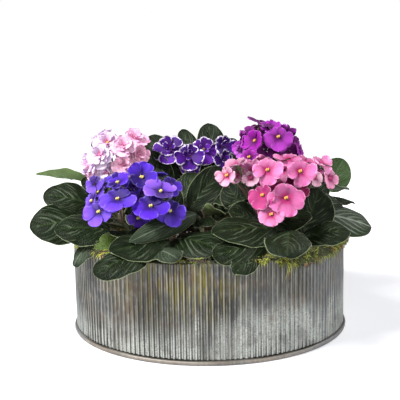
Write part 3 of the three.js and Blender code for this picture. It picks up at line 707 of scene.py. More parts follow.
def quadratic(start, middle, end, share):
    """Point on a quadratic curve at a share from 0 to 1."""
    share = np.asarray(share)[..., None]
    return (1 - share) ** 2 * start + 2 * share * (1 - share) * middle + share**2 * end


def midrib_of(leaf):
    """Start, bend and end of a leaf's midrib, and the directions to its side and its upper face.
    A leaf is its neck and its tip, the way its upper face looks, and its width, arch and cup, in
    mm."""
    neck, tip, face, _, arch, _ = leaf
    neck, tip = np.array(neck) * MM, np.array(tip) * MM
    side = unit(np.cross(unit(tip - neck), face))
    upper = unit(np.cross(side, unit(tip - neck)))
    return neck, (neck + tip) / 2 + upper * 2 * arch * MM, tip, side, upper


def blade_half(along):
    """Half width as a share of the widest: an oval that is widest a little below the middle."""
    rise, fall = 0.48, 0.56
    widest = rise / (rise + fall)
    along = np.clip(along, 0, 1)
    return along**rise * (1 - along) ** fall / (widest**rise * (1 - widest) ** fall)


def on_blade(leaf, order, along, across, lift=0.0):
    """Point of a blade at shares along its midrib (0 to 1) and across it (-1 to 1). The blade
    follows the midrib, cups as the square of the distance across, waves toward its edge, and
    sinks along the midrib and along side veins that sweep forward."""
    start, bend, end, side, upper = midrib_of(leaf)
    width, cup = leaf[3] * MM, leaf[5] * MM
    half = width / 2 * blade_half(along) * (1 + 0.012 * np.sin(2 * np.pi * 21 * along))
    out = np.abs(across)
    wave = 1.6 * MM * np.sin(9 * along + 1.7 * order + np.where(across > 0, 2, 0)) * across**2
    ruffle = 0.5 * MM * np.sin(24 * along + 2.3 * order + 3 * across) * out**3
    vein = np.abs(np.sin(np.pi * VEIN_PAIRS * (along - VEIN_SWEEP * out**1.2)))
    shown = (1 - out**6) * np.clip(along / 0.12, 0, 1) * np.clip((1 - along) / 0.15, 0, 1)
    uneven = 0.8 + 0.45 * np.sin(5 * along + 2.1 * order + 2.4 * across)
    pillow = QUILT * (vein**0.7 - 0.55) * shown * uneven
    trough = 1.1 * MM * np.exp(-((across / 0.09) ** 2)) * np.clip((1 - along) / 0.25, 0, 1)
    height = cup * across**2 * blade_half(along) + wave + ruffle + pillow - trough + lift
    place = quadratic(start, bend, end, along)
    return place + side * (across * half)[..., None] + upper * height[..., None]


def thin_loop(first, last, grid):
    """Grid of a thin closed section: shares along from first to last, closer at the ends, shares
    across from -1 to 1, and the side, from 1 above to -1 below."""
    stations = 0.5 - 0.5 * np.cos(np.pi * np.linspace(first, last, grid[0]))
    loop = np.linspace(2 * np.pi, 0, grid[1], endpoint=False)
    along, loop = [g.T for g in np.meshgrid(stations, loop)]
    return along, np.cos(loop), np.sin(loop)


def leaf_blade(leaf, order, colours):
    """One blade, with its colours above and below and how light its veins are."""
    along, across, rise = thin_loop(0.035, 0.975, BLADE_GRID)
    points, faces = skin(on_blade(leaf, order, along, across, BLADE_HALF_THICK * rise))
    top, under, veined = colours
    above = np.append(rise > -0.02, [True, True])[:, None]
    shade = 0.8 + 0.4 * np.random.default_rng(order + int(abs(leaf[0][0]))).uniform()
    marks = {
        "blade": np.stack([np.append(along, [0, 1]), np.append(across, [0, 0])], axis=-1),
        "colour": np.where(above, np.array(top) * shade, np.array(under)),
        "veined": np.full(len(points), veined),
    }
    return points, faces, marks


def stem(path, radii, corners=10):
    """Round stem along a path (n, 3) with a radius at each point."""
    ahead = unit(np.gradient(path, axis=0))
    beside = unit(np.cross(ahead, (0.31, 0.17, 0.93)))
    over = np.cross(ahead, beside)
    turn = np.linspace(0, 2 * np.pi, corners, endpoint=False)[:, None]
    ring = beside[:, None] * np.cos(turn) + over[:, None] * np.sin(turn)
    return skin(path[:, None] + ring * np.asarray(radii)[:, None, None])


def leaf_stalk(crown, leaf, order):
    """Fleshy stalk from the crown, up and over into the base of the blade."""
    start, bend, end, _, upper = midrib_of(leaf)
    foot = np.array([crown[0], crown[1], 0]) * MM
    foot[2] = CROWN_TOP - (3 + 4 * (order % 3)) * MM
    tip = quadratic(start, bend, end, 0.16) - upper * 1.5 * MM
    out = unit((tip - foot) * (1, 1, 0))
    foot = foot + out * CROWN_RADIUS * 0.6
    elbow = foot + (tip - foot) * 0.55
    elbow[2] = max(tip[2] - 2 * MM, CROWN_TOP + 6 * MM)
    share = np.linspace(0, 1, 16)
    return stem(quadratic(foot, elbow, tip, share), (2.5 - 1.0 * share) * MM)


def leaf_hairs(leaf, order):
    """Short tapered hairs along the edge of a blade and over its upper face."""
    draw = np.random.default_rng(1000 + order + int(abs(leaf[0][1])))
    upper = midrib_of(leaf)[-1]
    edge = np.where(draw.uniform(size=EDGE_HAIRS) < 0.5, -0.985, 0.985)
    along = draw.uniform(0.06, 0.97, EDGE_HAIRS)
    roots = on_blade(leaf, order, along, edge)
    inner = on_blade(leaf, order, 0.5 + (along - 0.5) * 0.9, edge * 0.85)
    ways = unit(roots - inner) + draw.normal(0, 0.3, roots.shape) + upper * 0.25
    flat = draw.uniform(0.08, 0.94, TOP_HAIRS)
    wide = draw.uniform(-0.94, 0.94, TOP_HAIRS)
    top_roots = on_blade(leaf, order, flat, wide, BLADE_HALF_THICK * 0.8)
    top_ways = upper + draw.normal(0, 0.35, top_roots.shape)
    roots = np.concatenate([roots, top_roots])
    ways = np.concatenate([ways, top_ways])
    count = len(roots)
    lengths = draw.uniform(*HAIR_LENGTHS, count) * MM
    widths = np.full(count, HAIR_WIDTH)
    hairs = shoots(draw, roots, ways, lengths, widths, np.zeros(count), stations=2)
    return hairs, np.ones(count)


def velvet_leaf():
    """Leaf: its own upper and under colour, lighter veins, a pale edge that is painted rim light
    where the edge hairs catch the light, and between the veins a fine net and grey streaks of
    painted sheen on the quilted cells."""
    surface = Finish("velvet_leaf", 0.3, specular=0.11)
    tree, place = surface.tree, surface.place
    along, across = surface.shares("blade")
    out = across.maths("ABSOLUTE")
    count = (along + out.maths("POWER", 1.2) * -VEIN_SWEEP) * VEIN_PAIRS
    wave = (count * math.pi).maths("SINE").maths("ABSOLUTE")
    light = surface.mark("veined")
    side_veins = between(wave, 0.3, 0.03).maths("MAXIMUM", between(wave, 0.7, 0.3) * light)
    side_veins = side_veins * between(out, 0.96, 0.7) * between(along, 1.0, 0.75)
    veins = between(out, 0.085, 0.02).maths("MAXIMUM", side_veins * 0.6)
    cell = {"Vector": place, "Scale": NET_PER_METRE}
    net = field(tree, "TexVoronoi", cell, "Distance", feature="DISTANCE_TO_EDGE")
    cloudy = between(noise(place, 0.012), 0.4, 0.68) * 0.03
    colour = blend(cloudy, surface.mark("colour", "Color"), (0.1, 0.15, 0.06))
    grown = {0: count * 3.4, 1: across * 2.0, 2: place.axis(0) * 25}
    streak_at = {"Vector": field(tree, "CombineXYZ", grown), "Scale": 1.0, "Detail": 5}
    streak = field(tree, "TexNoise", streak_at)
    # Painted sheen: grey streaks on the raised cells between the veins, as if their hair caught the
    # light.
    pillow = between(wave, 0.35, 1.0) * between(out, 1.0, 0.8) * between(along, 1.0, 0.7)
    colour = blend(pillow * between(streak, 0.48, 0.66) * 0.5, colour, (0.15, 0.19, 0.12))
    vein_colour = blend(light, (0.06, 0.1, 0.03), (0.5, 0.56, 0.47))
    colour = blend(veins * (light * 0.65 + 0.24), colour, vein_colour)
    colour = blend(between(net, 0.16, 0.02) * 0.05, colour, (0.08, 0.12, 0.05))
    # Painted rim light: a pale green edge where the edge hairs catch the light.
    colour = blend(between(out, 0.962, 0.995) * 0.9, colour, (0.32, 0.38, 0.2))
    height = net * 1.4 + noise(place, 0.0007, 2) * 0.5 + streak * 2.0
    return surface.done(colour, height, 0.0006, 0.8)


def green_stalk(name, first, second):
    """Fleshy stalk: two colours in long soft patches under fine pale hair."""
    surface = Finish(name, 0.5, sheen=0.12, specular=0.4)
    patches = noise(surface.place, 0.01, 3, (1, 1, 0.5))
    colour = blend(between(patches, 0.35, 0.65), first, second)
    down = noise(surface.place, 0.0006, 3)
    colour = blend(between(down, 0.5, 0.75), colour, (0.3, 0.31, 0.22))
    return surface.done(colour, down, 0.0003)


leaf_velvet = velvet_leaf()
stalk_green = green_stalk("stalk_green", (0.06, 0.085, 0.025), (0.09, 0.045, 0.025))
hair_white = Finish("pale_hair", 0.5, specular=0.3).done((0.5, 0.55, 0.4, 1))


def grow_leaves(plant, crown, leaves, special):
    """The crown, leaf stalks, blades and hairs of one plant, with its inner leaves after those
    that its solid has. special gives the colours of single leaves by number."""
    blades, stalks, hairs = [], [], []
    for order, leaf in enumerate(leaves):
        blades.append(leaf_blade(leaf, order, special.get(order, PLAIN_LEAF)))
        stalks.append((*leaf_stalk(crown, leaf, order), {}))
        hairs.append(leaf_hairs(leaf, order))
    points, faces, marks = joined(blades)
    new_piece(plant + "_leaves", points, faces, leaf_velvet, marks, [plant + "_plant"], "leaf")
    heights = np.array([CROWN_FOOT, 92 * MM, 98 * MM, 102 * MM, CROWN_TOP, 106.5 * MM])
    radii = np.array([CROWN_RADIUS, 8.9 * MM, 8.4 * MM, 7.8 * MM, 6.4 * MM, 3 * MM])
    rings = turned_rings(list(zip(radii, heights)), 24) + np.array([*crown, 0]) * MM
    rings[..., 2] += 0.5 * MM * lumps(rings, 5 * MM, 41)
    stalks.append((*skin(rings), {}))
    points, faces, _ = joined(stalks)
    new_piece(plant + "_leaf_stalks", points, faces, stalk_green, slot="leaf")
    shoot_piece(plant + "_leaf_hairs", hairs, hair_white, "leaf")


blue_crown = (-68, -55)
blue_leaves = [
    ((-108, -80, 126), (-166, -95, 130), (-0.1, -0.6, 0.8), 46, 4, -4),
    ((-127, -92, 115), (-144, -108, 93), (-0.5, -0.6, 0.6), 25, 3, -4),
    ((-66, -140, 114), (-113, -172, 99), (-0.2, -0.62, 0.76), 41, 4, -4),
    ((-41, -114, 120), (-99, -153, 117), (0, -0.45, 0.9), 50, 3, -3),
    ((-54, -128, 113), (-31, -165, 112), (0.1, -0.55, 0.83), 30, 3, -3),
    ((-36, -96, 119), (12, -143, 115), (0, -0.5, 0.87), 50, 5, -4),
    ((-78, -84, 120), (-104, -112, 128), (-0.3, -0.5, 0.8), 30, 3, -3),
    ((-34, -22, 144), (-14, 8, 177), (-0.2, -0.8, 0.55), 30, 3, 4),
    ((-22, -36, 141), (16, 0, 184), (0.35, -0.75, 0.55), 34, 4, 4),
    ((-76, -28, 121), (-82, 6, 131), (0, 0.1, 1), 38, 4, -3),
]
blue_inner_leaves = [
    ((-89, -60, 140), (-97, -40, 179), (-0.1, -0.9, 0.4), 40, 4, 3),
    ((-66, -58, 142), (-58, -34, 189), (0.2, -0.9, 0.4), 36, 4, 3),
    ((-108, -62, 132), (-124, -50, 158), (-0.4, -0.8, 0.5), 30, 4, 3),
    ((-94, -92, 118), (-122, -103, 106), (-0.1, -0.8, 0.5), 24, 3, 3),
    ((-54, -62, 130), (-40, -46, 172), (0.2, -0.9, 0.4), 38, 3, 3),
    ((-50, -98, 117), (-86, -114, 127), (0, -0.6, 0.8), 28, 3, -3),
]
blue_special = {1: SILVER_FOLD, 4: SILVER_FOLD, 13: LIGHT_LEAF}
grow_leaves("blue", blue_crown, blue_leaves + blue_inner_leaves, blue_special)

# Leaves of the pink-flowered plant
# The same kind of leaf, larger and flatter. Two wide ones lie over the front of the pot, and the
# one at the far right shows light veins.
pink_crown = (68, -52)
pink_leaves = [
    ((76, -100, 128), (4, -142, 133), (-0.1, -0.55, 0.83), 50, 5, -5),
    ((83, -122, 131), (76, -173, 115), (0, -0.3, 0.95), 47, 4, -5),
    ((58, -130, 118), (4, -158, 112), (0, -0.55, 0.83), 42, 4, -4),
    ((47, -142, 114), (25, -174, 98), (0, -0.7, 0.7), 26, 2, -2),
    ((106, -54, 136), (182, -60, 121), (0.1, -0.55, 0.83), 52, 7, -6),
    ((102, -88, 117), (151, -101, 124), (0.2, -0.5, 0.84), 40, 4, -3),
    ((66, -88, 132), (109, -108, 142), (0, -0.6, 0.8), 36, 4, -3),
    ((56, -68, 131), (22, -80, 144), (-0.2, -0.7, 0.7), 34, 3, 3),
    ((104, -40, 130), (134, -16, 160), (-0.2, -0.75, 0.6), 48, 4, 3),
    ((122, -22, 126), (176, -6, 128), (0.3, -0.1, 0.95), 46, 5, -4),
    ((56, -24, 122), (44, 8, 136), (0, 0.1, 1), 38, 4, -3),
    ((92, -22, 120), (108, 10, 130), (0, 0.1, 1), 36, 4, -3),
]
light_veined = ((0.016, 0.028, 0.012), PALE_UNDER, 0.8)
pink_inner_leaves = [
    ((60, -50, 137), (57, -34, 187), (-0.1, -0.9, 0.4), 44, 4, 3),
    ((94, -46, 135), (103, -32, 182), (0.15, -0.9, 0.4), 46, 4, 3),
    ((39, -50, 144), (22, -40, 170), (-0.3, -0.8, 0.5), 34, 4, 3),
    ((104, -74, 118), (123, -62, 166), (0.1, -0.95, 0.35), 50, 4, 3),
    ((112, -34, 140), (132, -16, 184), (0.1, -0.9, 0.4), 36, 3, 3),
    ((112, -48, 141), (154, -44, 139), (0.2, -0.7, 0.7), 30, 5, 3),
]
grow_leaves("pink", pink_crown, pink_leaves + pink_inner_leaves, {4: light_veined, 7: WINE_FOLD})

# Leaves of the pale-flowered plant
# The long leaf at the far left turns its pale green underside to the front.
pale_crown = (-88, 44)
pale_leaves = [
    ((-148, -8, 124), (-206, -36, 121), (-0.2, -0.8, 0.55), 56, 5, -4),
    ((-140, 10, 141), (-197, 2, 155), (-0.1, -0.75, 0.65), 46, 4, -3),
    ((-138, 46, 161), (-213, 40, 175), (0, 0.42, 0.9), 34, 3, 4),
    ((-134, 38, 145), (-176, 58, 150), (-0.2, -0.3, 0.93), 40, 4, -3),
    ((-102, 72, 174), (-76, 82, 203), (0.1, -0.85, 0.5), 34, 3, 3),
    ((-136, 82, 128), (-178, 118, 122), (-0.4, 0.4, 0.8), 48, 5, -4),
    ((-96, 112, 127), (-112, 172, 120), (-0.2, 0.5, 0.84), 48, 5, -4),
    ((-62, 28, 125), (-40, 6, 139), (0.2, 0, 1), 34, 4, -3),
    ((-78, 76, 124), (-58, 112, 140), (0, 0.2, 1), 42, 4, -3),
]
pale_inner_leaves = [
    ((-114, 44, 143), (-122, 50, 183), (0, -0.9, 0.4), 38, 4, 3),
    ((-91, 50, 150), (-81, 60, 189), (0.1, -0.9, 0.4), 34, 4, 3),
    ((-84, 70, 130), (-78, 118, 150), (0, 0.3, 0.95), 42, 4, -3),
    ((-110, 64, 130), (-150, 88, 150), (-0.3, 0.1, 0.95), 42, 4, -3),
    ((-112, 22, 146), (-152, 6, 170), (-0.3, -0.6, 0.7), 34, 4, 3),
]
turned_leaf = ((0.12, 0.17, 0.07), (0.2, 0.3, 0.1), 0.0)
grow_leaves("pale", pale_crown, pale_leaves + pale_inner_leaves, {2: turned_leaf})

# Leaves of the magenta-flowered plant
# Rounder leaves that stand up behind the flowers at the right.
magenta_crown = (88, 48)
magenta_leaves = [
    ((146, 40, 150), (168, 42, 188), (0, -0.95, 0.3), 40, 3, 3),
    ((132, 22, 147), (170, 12, 155), (0.1, 0.3, 0.95), 28, 3, 3),
    ((72, 34, 188), (46, 20, 200), (0, -0.6, 0.8), 27, 3, 2),
    ((140, 70, 132), (190, 86, 126), (0.4, 0.1, 0.9), 48, 5, -4),
    ((97, 116, 126), (112, 174, 119), (0.2, 0.5, 0.84), 48, 5, -4),
    ((126, 98, 138), (164, 134, 140), (0.4, 0.4, 0.8), 44, 5, -3),
    ((66, 36, 122), (34, 22, 134), (-0.2, 0, 1), 34, 4, -3),
    ((80, 80, 124), (66, 116, 142), (0, 0.2, 1), 42, 4, -3),
]
magenta_inner_leaves = [
    ((86, 56, 156), (96, 62, 201), (0.1, -0.9, 0.4), 38, 4, 3),
    ((96, 76, 130), (104, 124, 152), (0.1, 0.3, 0.95), 42, 4, -3),
    ((116, 60, 132), (158, 70, 150), (0.3, 0, 0.95), 40, 4, -3),
    ((62, 40, 146), (36, 16, 182), (-0.2, -0.9, 0.4), 34, 3, 3),
]
magenta_special = {0: ((0.03, 0.06, 0.018), PALE_UNDER, 0.15), 1: SILVER_FOLD}
grow_leaves("magenta", magenta_crown, magenta_leaves + magenta_inner_leaves, magenta_special)

# Leaves of the plant with edged flowers
# This plant stands in the middle of the pot. Its front leaves reach forward between the plants at
# the left and right, and one is folded along its midrib.
edged_crown = (0, 50)
edged_leaves = [
    ((-13, -76, 142), (-80, -139, 125), (0.25, -0.75, 0.6), 25, 5, -4),
    ((-2, -30, 134), (20, -62, 139), (0, 0.7, 0.7), 28, 3, 3),
    ((8, -20, 150), (44, -57, 155), (0.1, -0.6, 0.8), 30, 3, -2),
    ((-14, -48, 130), (6, -80, 130), (0, -0.5, 0.85), 22, 2, -2),
    ((8, 94, 182), (1, 114, 231), (0, -0.9, 0.4), 36, 3, 3),
    ((20, 84, 178), (35, 92, 212), (0.3, -0.9, 0.3), 28, 3, 3),
    ((-13, 94, 182), (-35, 118, 222), (-0.2, -0.9, 0.4), 26, 3, 3),
    ((-44, 88, 184), (-80, 108, 214), (-0.3, -0.8, 0.5), 30, 3, 3),
    ((-12, 116, 124), (-28, 180, 118), (0, 0.5, 0.87), 50, 5, -4),
    ((34, 112, 128), (58, 172, 128), (0.1, 0.5, 0.85), 46, 5, -4),
    ((2, 84, 126), (8, 124, 148), (0, 0.2, 1), 42, 4, -3),
    ((-26, 52, 120), (-54, 58, 132), (-0.1, 0, 1), 34, 4, -3),
    ((26, 56, 120), (54, 62, 132), (0.1, 0, 1), 32, 4, -3),
]
edged_inner_leaves = [
    ((-25, 62, 152), (-38, 74, 197), (-0.1, -0.9, 0.4), 44, 4, 3),
    ((-3, 64, 152), (8, 80, 196), (0.1, -0.9, 0.4), 44, 4, 3),
    ((-53, 54, 149), (-75, 62, 200), (-0.2, -0.9, 0.4), 40, 4, 3),
    ((-14, 52, 143), (-10, 60, 188), (0, -0.9, 0.4), 36, 4, 3),
    ((-8, 82, 130), (-20, 132, 152), (0, 0.3, 0.95), 42, 4, -3),
    ((20, 80, 130), (40, 128, 148), (0.1, 0.3, 0.95), 40, 4, -3),
    ((4, 46, 122), (32, 10, 148), (0.1, -0.85, 0.5), 36, 3, 3),
    ((-8, 40, 122), (-40, -12, 148), (-0.1, -0.85, 0.5), 34, 3, 3),
]
edged_special = {0: SILVER_FOLD, 3: WINE_FOLD}
grow_leaves("edged", edged_crown, edged_leaves + edged_inner_leaves, edged_special)

# Blue flowers
# Each flower has five petals that are joined at the throat: two small ones above and three large
# ones, with two yellow anthers in the middle, and a short green calyx and tube behind.
TUBE_LENGTH = 6.6 * MM
SEAT_GAP = 0.3 * MM
PETAL_HALF_THICK = 0.3 * MM
PETAL_WIDEST = 0.66
PETAL_GRID = (11, 20)
INNER_GRID = (9, 16)
CALYX_GRID = (6, 8)
INNER_LIFT = 0.8 * MM
CALYX_LIFT = -4.2 * MM
PETALS = [(32, 0.8, 0.24, -0.6, 0.3), (328, 0.8, 0.2, -0.3, 0.38), (107, 1.06, 0.13, 0.1, 1.0)]
PETALS += [(253, 1.06, 0.13, 0.4, 1.12), (180, 1.1, 0.08, 0.8, 1.26)]
WHORLS = [(5, 0.8, 0.4), (4, 0.6, 0.8), (3, 0.4, 1.3)]
KINDS = {
    "single": (0.095, 0.53, 0.4, 0.3),
    "shaded": (0.045, 0.51, 0.2, 1.0),
    "waved": (0.08, 0.54, 0.4, 0.6),
    "double": (0.07, 0.5, 0.25, 0.3),
}


def petal(
    turn, length, wide, lean, shell, ruffle, lift, draw, tone=1.0, root=1.6 * MM, grid=PETAL_GRID
):
    """One petal in its flower's own frame: X right, Y up, Z forward, throat at the origin. It is
    an oval that is widest past its middle, where it reaches wide to each side. It leans forward
    in step with its length, its sides curl forward as the square of the distance across, its
    edge ruffles and its tip rolls back."""
    along, across, rise = thin_loop(0.05, 0.955, grid)
    half = wide * (along / PETAL_WIDEST) ** 0.8 * ((1 - along) / (1 - PETAL_WIDEST)) ** 0.41
    x = across * half * (1 + 0.05 * np.sin(5 * along + draw.uniform(0, 6.28)))
    bay = draw.uniform(-0.04, 0.13) * np.exp(-((across / 0.3) ** 2)) * along**6
    uneven = 0.02 * along * np.sin(7 * across + draw.uniform(0, 6.28))
    y = root + (length - root) * (along - bay + uneven)
    tilt = draw.uniform(-0.06, 0.06)
    phase = draw.uniform(0, 6.28, 3)
    edge = ruffle * length * along**2
    waves = np.sin(4.2 * across + phase[0]) + 0.6 * np.sin(9 * across + phase[1])
    z = lift * (0.25 + along) + lean * y + shell * half * across**2
    z = z - 0.1 * length * along**3 + tilt * x
    z = z + edge * waves * (0.4 + np.abs(across))
    z = z + edge * 0.8 * np.sin(8 * along + phase[2]) * np.abs(across) ** 2
    z = z + PETAL_HALF_THICK * rise - 0.5 * MM * np.exp(-((across / 0.2) ** 2)) * (1 - along)
    cos, sin = math.cos(math.radians(turn)), math.sin(math.radians(turn))
    points, faces = skin(np.stack([x * cos + y * sin, y * cos - x * sin, z], -1))
    rim = np.minimum((1 - np.abs(across)) * half, (1 - along) * length * 1.1)
    along = np.append(along, [0, 1])
    marks = {
        "petal": np.stack([along, np.append(across, [0, 0])], -1),
        "rim": np.append(rim, [2 * MM, 0]) / MM,
        "tone": tone * (0.55 + 0.64 * along),
    }
    return points, faces, marks


def yellow_anthers():
    """Two plump lobes side by side over the throat, and the thin style beside them."""
    height = np.linspace(-0.96, 0.96, 9)
    ball = turned_rings(list(zip(np.sqrt(1 - height**2), height)), 10)
    ball = ball * np.array([1.05, 1.75, 1.1]) + np.array([0, 0, 2.2])
    aside = np.array([0.95, 0.3, 0])
    lobes = [(*skin((ball + aside * side) * MM), {}) for side in (-1, 1)]
    share = np.linspace(0, 1, 6)
    ends = np.array([[0, 0, 0.3], [1.2, -0.8, 2.6], [2.1, -1.8, 4]]) * MM
    return lobes, (*stem(quadratic(*ends, share), (0.32 - 0.1 * share) * MM, 6), {})


def calyx_and_tube(draw):
    """The tube behind the petals, with five narrow green lobes round it."""
    tube = np.array([(1.1, -6.6), (1.7, -5.4), (1.9, -3.2), (2.4, -1.2), (2.2, 0.3)]) * MM
    parts = [(*skin(turned_rings(tube, 12)), {})]
    for k in range(5):
        lobe = (72 * k + 36, 7 * MM, 1.3 * MM, -0.1, 0.2, 0.0, CALYX_LIFT, draw)
        points, faces, _ = petal(*lobe, root=1 * MM, grid=CALYX_GRID)
        parts.append((points - np.array([0, 0, 1.6]) * MM, faces, {}))
    return parts


def flower(size, kind, draw):
    """Parts of one flower in its own frame, each (points, faces, marks) with the number of its
    material: petal, green or anther. Its kind gives the ruffle, width, unevenness and shading of
    its petals. A waved flower has three small petals round its anthers, and a double flower has
    three more whorls of shorter ruffled petals."""
    ruffle, spread, uneven, shading = KINDS[kind]
    petals = []
    for turn, share, lean, lift, tone in PETALS:
        length = size * share * draw.uniform(0.94, 1.05) * MM
        turn = turn + draw.uniform(-6, 6)
        lean = lean + draw.uniform(-0.4, 1) * uneven
        tone = 1 + (tone - 1) * shading
        shape = (turn, length, length * spread, lean, 0.12, ruffle, lift * MM, draw, tone)
        petals.append(petal(*shape))
    for k in range(3 if kind == "waved" else 0):
        turn = 120 * k + draw.uniform(0, 90)
        length = size * draw.uniform(0.32, 0.5) * MM
        small = (turn, length, length * 0.42, 1.1, 0.2, 0.08, INNER_LIFT, draw)
        petals.append(petal(*small, grid=INNER_GRID))
        petals[-1][2]["rim"] += 1.1
    for whorl, (count, share, lean) in enumerate(WHORLS if kind == "double" else []):
        for k in range(count):
            turn = 360 / count * k + 30 * whorl + draw.uniform(-14, 14)
            length = size * share * draw.uniform(0.85, 1.1) * MM
            lean_now = lean * draw.uniform(0.5, 1.3)
            small = (turn, length, length * 0.5, lean_now, 0.25, 0.07, INNER_LIFT, draw)
            petals.append(petal(*small, grid=INNER_GRID))
    anthers, style = yellow_anthers()
    groups = [petals, calyx_and_tube(draw) + [style], anthers]
    return [(*part, number) for number, group in enumerate(groups) for part in group]


def petal_finish(name, inner, edge, width=1.0, strength=0.3, vein=0.35):
    """Petal: each flower's own colour, deeper in the throat, with fine rays and a border of
    uneven width in mm, in the edge colour at a given strength, that fades toward the throat."""
    surface = Finish(name, 0.55, sheen=0.02, specular=0.18)
    along, across = surface.shares("petal")
    fan = field(surface.tree, "CombineXYZ", {0: along * 1.3, 1: across * 9})
    rays = field(surface.tree, "TexNoise", {"Vector": fan, "Scale": 1.0, "Detail": 3})
    colour = surface.mark("colour", "Color")
    colour = blend(between(rays, 0.42, 0.68) * between(along, 0.95, 0.3) * vein, colour, inner)
    colour = blend(between(along, 0.42, 0.12) * 0.9, colour, inner)
    ragged = noise(surface.place, 0.0025, 3) * 2.0 + -1.0
    border = between(surface.mark("rim") + (rays + ragged) * -width, 0.3, -0.2)
    colour = blend(border * between(along, 0.3, 0.62) * strength, colour, edge)
    return surface.done(colour, rays * 0.8 + noise(surface.place, 0.0006, 2), 0.0004, 0.5)


def anther_finish(name, first, second):
    """Waxy anther of two colours in a fine grain."""
    surface = Finish(name, 0.45)
    return surface.done(blend(noise(surface.place, 0.0012, 3), first, second))


anther_yellow = anther_finish("anther_yellow", (0.92, 0.82, 0.25), (0.5, 0.3, 0.03))
calyx_green = green_stalk("calyx_green", (0.09, 0.13, 0.04), (0.13, 0.06, 0.04))


def flower_frame(throat, face, roll=0):
    """Where a flower stands and its right, top and front directions as a matrix's columns. Its
    top is turned by the roll in degrees."""
    front = unit(face)
    upward = (0, 1, 0) if abs(front[2]) > 0.9 else (0, 0, 1)
    right = unit(np.cross(upward, front))
    top = np.cross(front, right)
    lean = math.radians(roll)
    turned_right = right * math.cos(lean) + top * math.sin(lean)
    turned_top = top * math.cos(lean) - right * math.sin(lean)
    return np.array(throat) * MM, np.stack([turned_right, turned_top, front], axis=-1)


def set_flower(place, basis, size, kind, colour, draw):
    """One flower in the pot's frame, with its colour at each point."""
    parts = []
    for points, faces, marks, number in flower(size, kind, draw):
        count = len(points)
        whole = {
            "petal": marks.get("petal", np.zeros((count, 2))),
            "rim": marks.get("rim", np.full(count, 9.0)),
            "colour": colour * marks.get("tone", np.ones(count))[:, None],
            "material": np.full(count, number),
        }
        parts.append((points @ basis.T + place, faces, whole))
    return joined(parts)


def open_flowers(plant, kind, blooms, material, colours, anther=anther_yellow, closed=()):
    """The flowers of one plant, each where its solid stands: the back of the solid is the end of
    the tube. A bloom is its throat and the length of its petals in mm, the way that it faces and
    its roll. The flowers numbered in closed hide their anthers in petal colour. Returns the
    throat and front of each, for its stalk."""
    seats = []
    for order, (throat, face, size, *roll) in enumerate(blooms):
        node_name = f"{plant}_bloom_{order + 1}"
        place, basis = flower_frame(throat, face, *roll)
        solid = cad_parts[node_name].data
        corners = np.empty(len(solid.vertices) * 3, np.float32)
        solid.vertices.foreach_get("co", corners)
        back = (corners.reshape(-1, 3) @ basis[:, 2]).min()
        place = place + basis[:, 2] * (back + TUBE_LENGTH - place @ basis[:, 2])
        draw = np.random.default_rng(500 + order + 40 * len(plant) + int(size * 2))
        colour = np.array(colours[order % len(colours)]) * draw.uniform(0.9, 1.12)
        materials = [material, calyx_green, material if order + 1 in closed else anther]
        points, faces, marks = set_flower(place, basis, size, kind, colour, draw)
        name = f"{plant}_flower_{order + 1}"
        new_piece(name, points, faces, materials, marks, [node_name], plant + "_petal")
        seats.append((place, basis[:, 2]))
    return seats


def small_flowers(plant, kind, blooms, material, colours):
    """The smaller flowers that stand behind and between the others, as one piece. Their anthers
    are still closed in petal colour. Returns the throat and front of each, for its stalk."""
    parts, seats = [], []
    for order, (throat, face, size, *roll) in enumerate(blooms):
        place, basis = flower_frame(throat, face, *roll)
        draw = np.random.default_rng(900 + order + 40 * len(plant))
        colour = np.array(colours[order % len(colours)]) * draw.uniform(0.9, 1.1)
        parts.append(set_flower(place, basis, size, kind, colour, draw))
        seats.append((place, basis[:, 2]))
    points, faces, marks = joined(parts)
    materials = [material, calyx_green, material]
    new_piece(plant + "_small_flowers", points, faces, materials, marks, slot=plant + "_petal")
    return seats


blue_blooms = [
    ((-115, -108, 151), (-0.3, -0.8, 0.5), 15.5),
    ((-95, -108, 164), (-0.1, -0.6, 0.8), 19),
    ((-60, -114, 157), (0, -0.65, 0.76), 18.5),
    ((-41, -106, 150), (0.4, -0.7, 0.6), 17),
    ((-71, -88, 185), (0.1, -0.9, 0.4), 15.5, 150),
    ((-94, -90, 174), (-0.3, -0.4, 0.87), 13, 170),
    ((-51, -100, 169), (0.25, -0.5, 0.83), 18, 195),
    ((-119, -78, 167), (-0.6, -0.4, 0.7), 12.5),
    ((-124, -90, 160), (-0.8, -0.5, 0.4), 11),
    ((-74, -102, 144), (-0.1, -0.95, -0.2), 12),
    ((-58, -74, 184), (0.2, 0.3, 0.95), 14),
]
blue_petal = petal_finish("blue_petal", (0.025, 0.005, 0.14), (0.4, 0.3, 0.9), 1.7, 0.25, 0.6)
BLUE_TONES = [
    (0.13, 0.045, 0.55), (0.09, 0.03, 0.5), (0.06, 0.012, 0.4), (0.08, 0.026, 0.45),
    (0.06, 0.014, 0.42), (0.055, 0.011, 0.36), (0.2, 0.08, 0.6), (0.13, 0.055, 0.5),
    (0.13, 0.05, 0.5), (0.07, 0.016, 0.32), (0.06, 0.014, 0.38),
]
blue_seats = open_flowers("blue", "shaded", blue_blooms, blue_petal, BLUE_TONES)
blue_small = [
    ((-97, -82, 181), (-0.2, -0.9, 0.2), 12),
    ((-40, -84, 175), (0.3, -0.7, 0.6), 12),
    ((-50, -104, 135), (0.1, -0.95, -0.1), 11),
    ((-111, -66, 176), (-0.5, -0.5, 0.7), 11),
    ((-124, -72, 177), (-0.4, -0.8, 0.4), 11),
    ((-72, -84, 166), (0.1, -0.9, 0.3), 13),
    ((-84, -80, 172), (-0.1, -0.85, 0.5), 12),
]
blue_small_seats = small_flowers("blue", "shaded", blue_small, blue_petal, BLUE_TONES[4:])

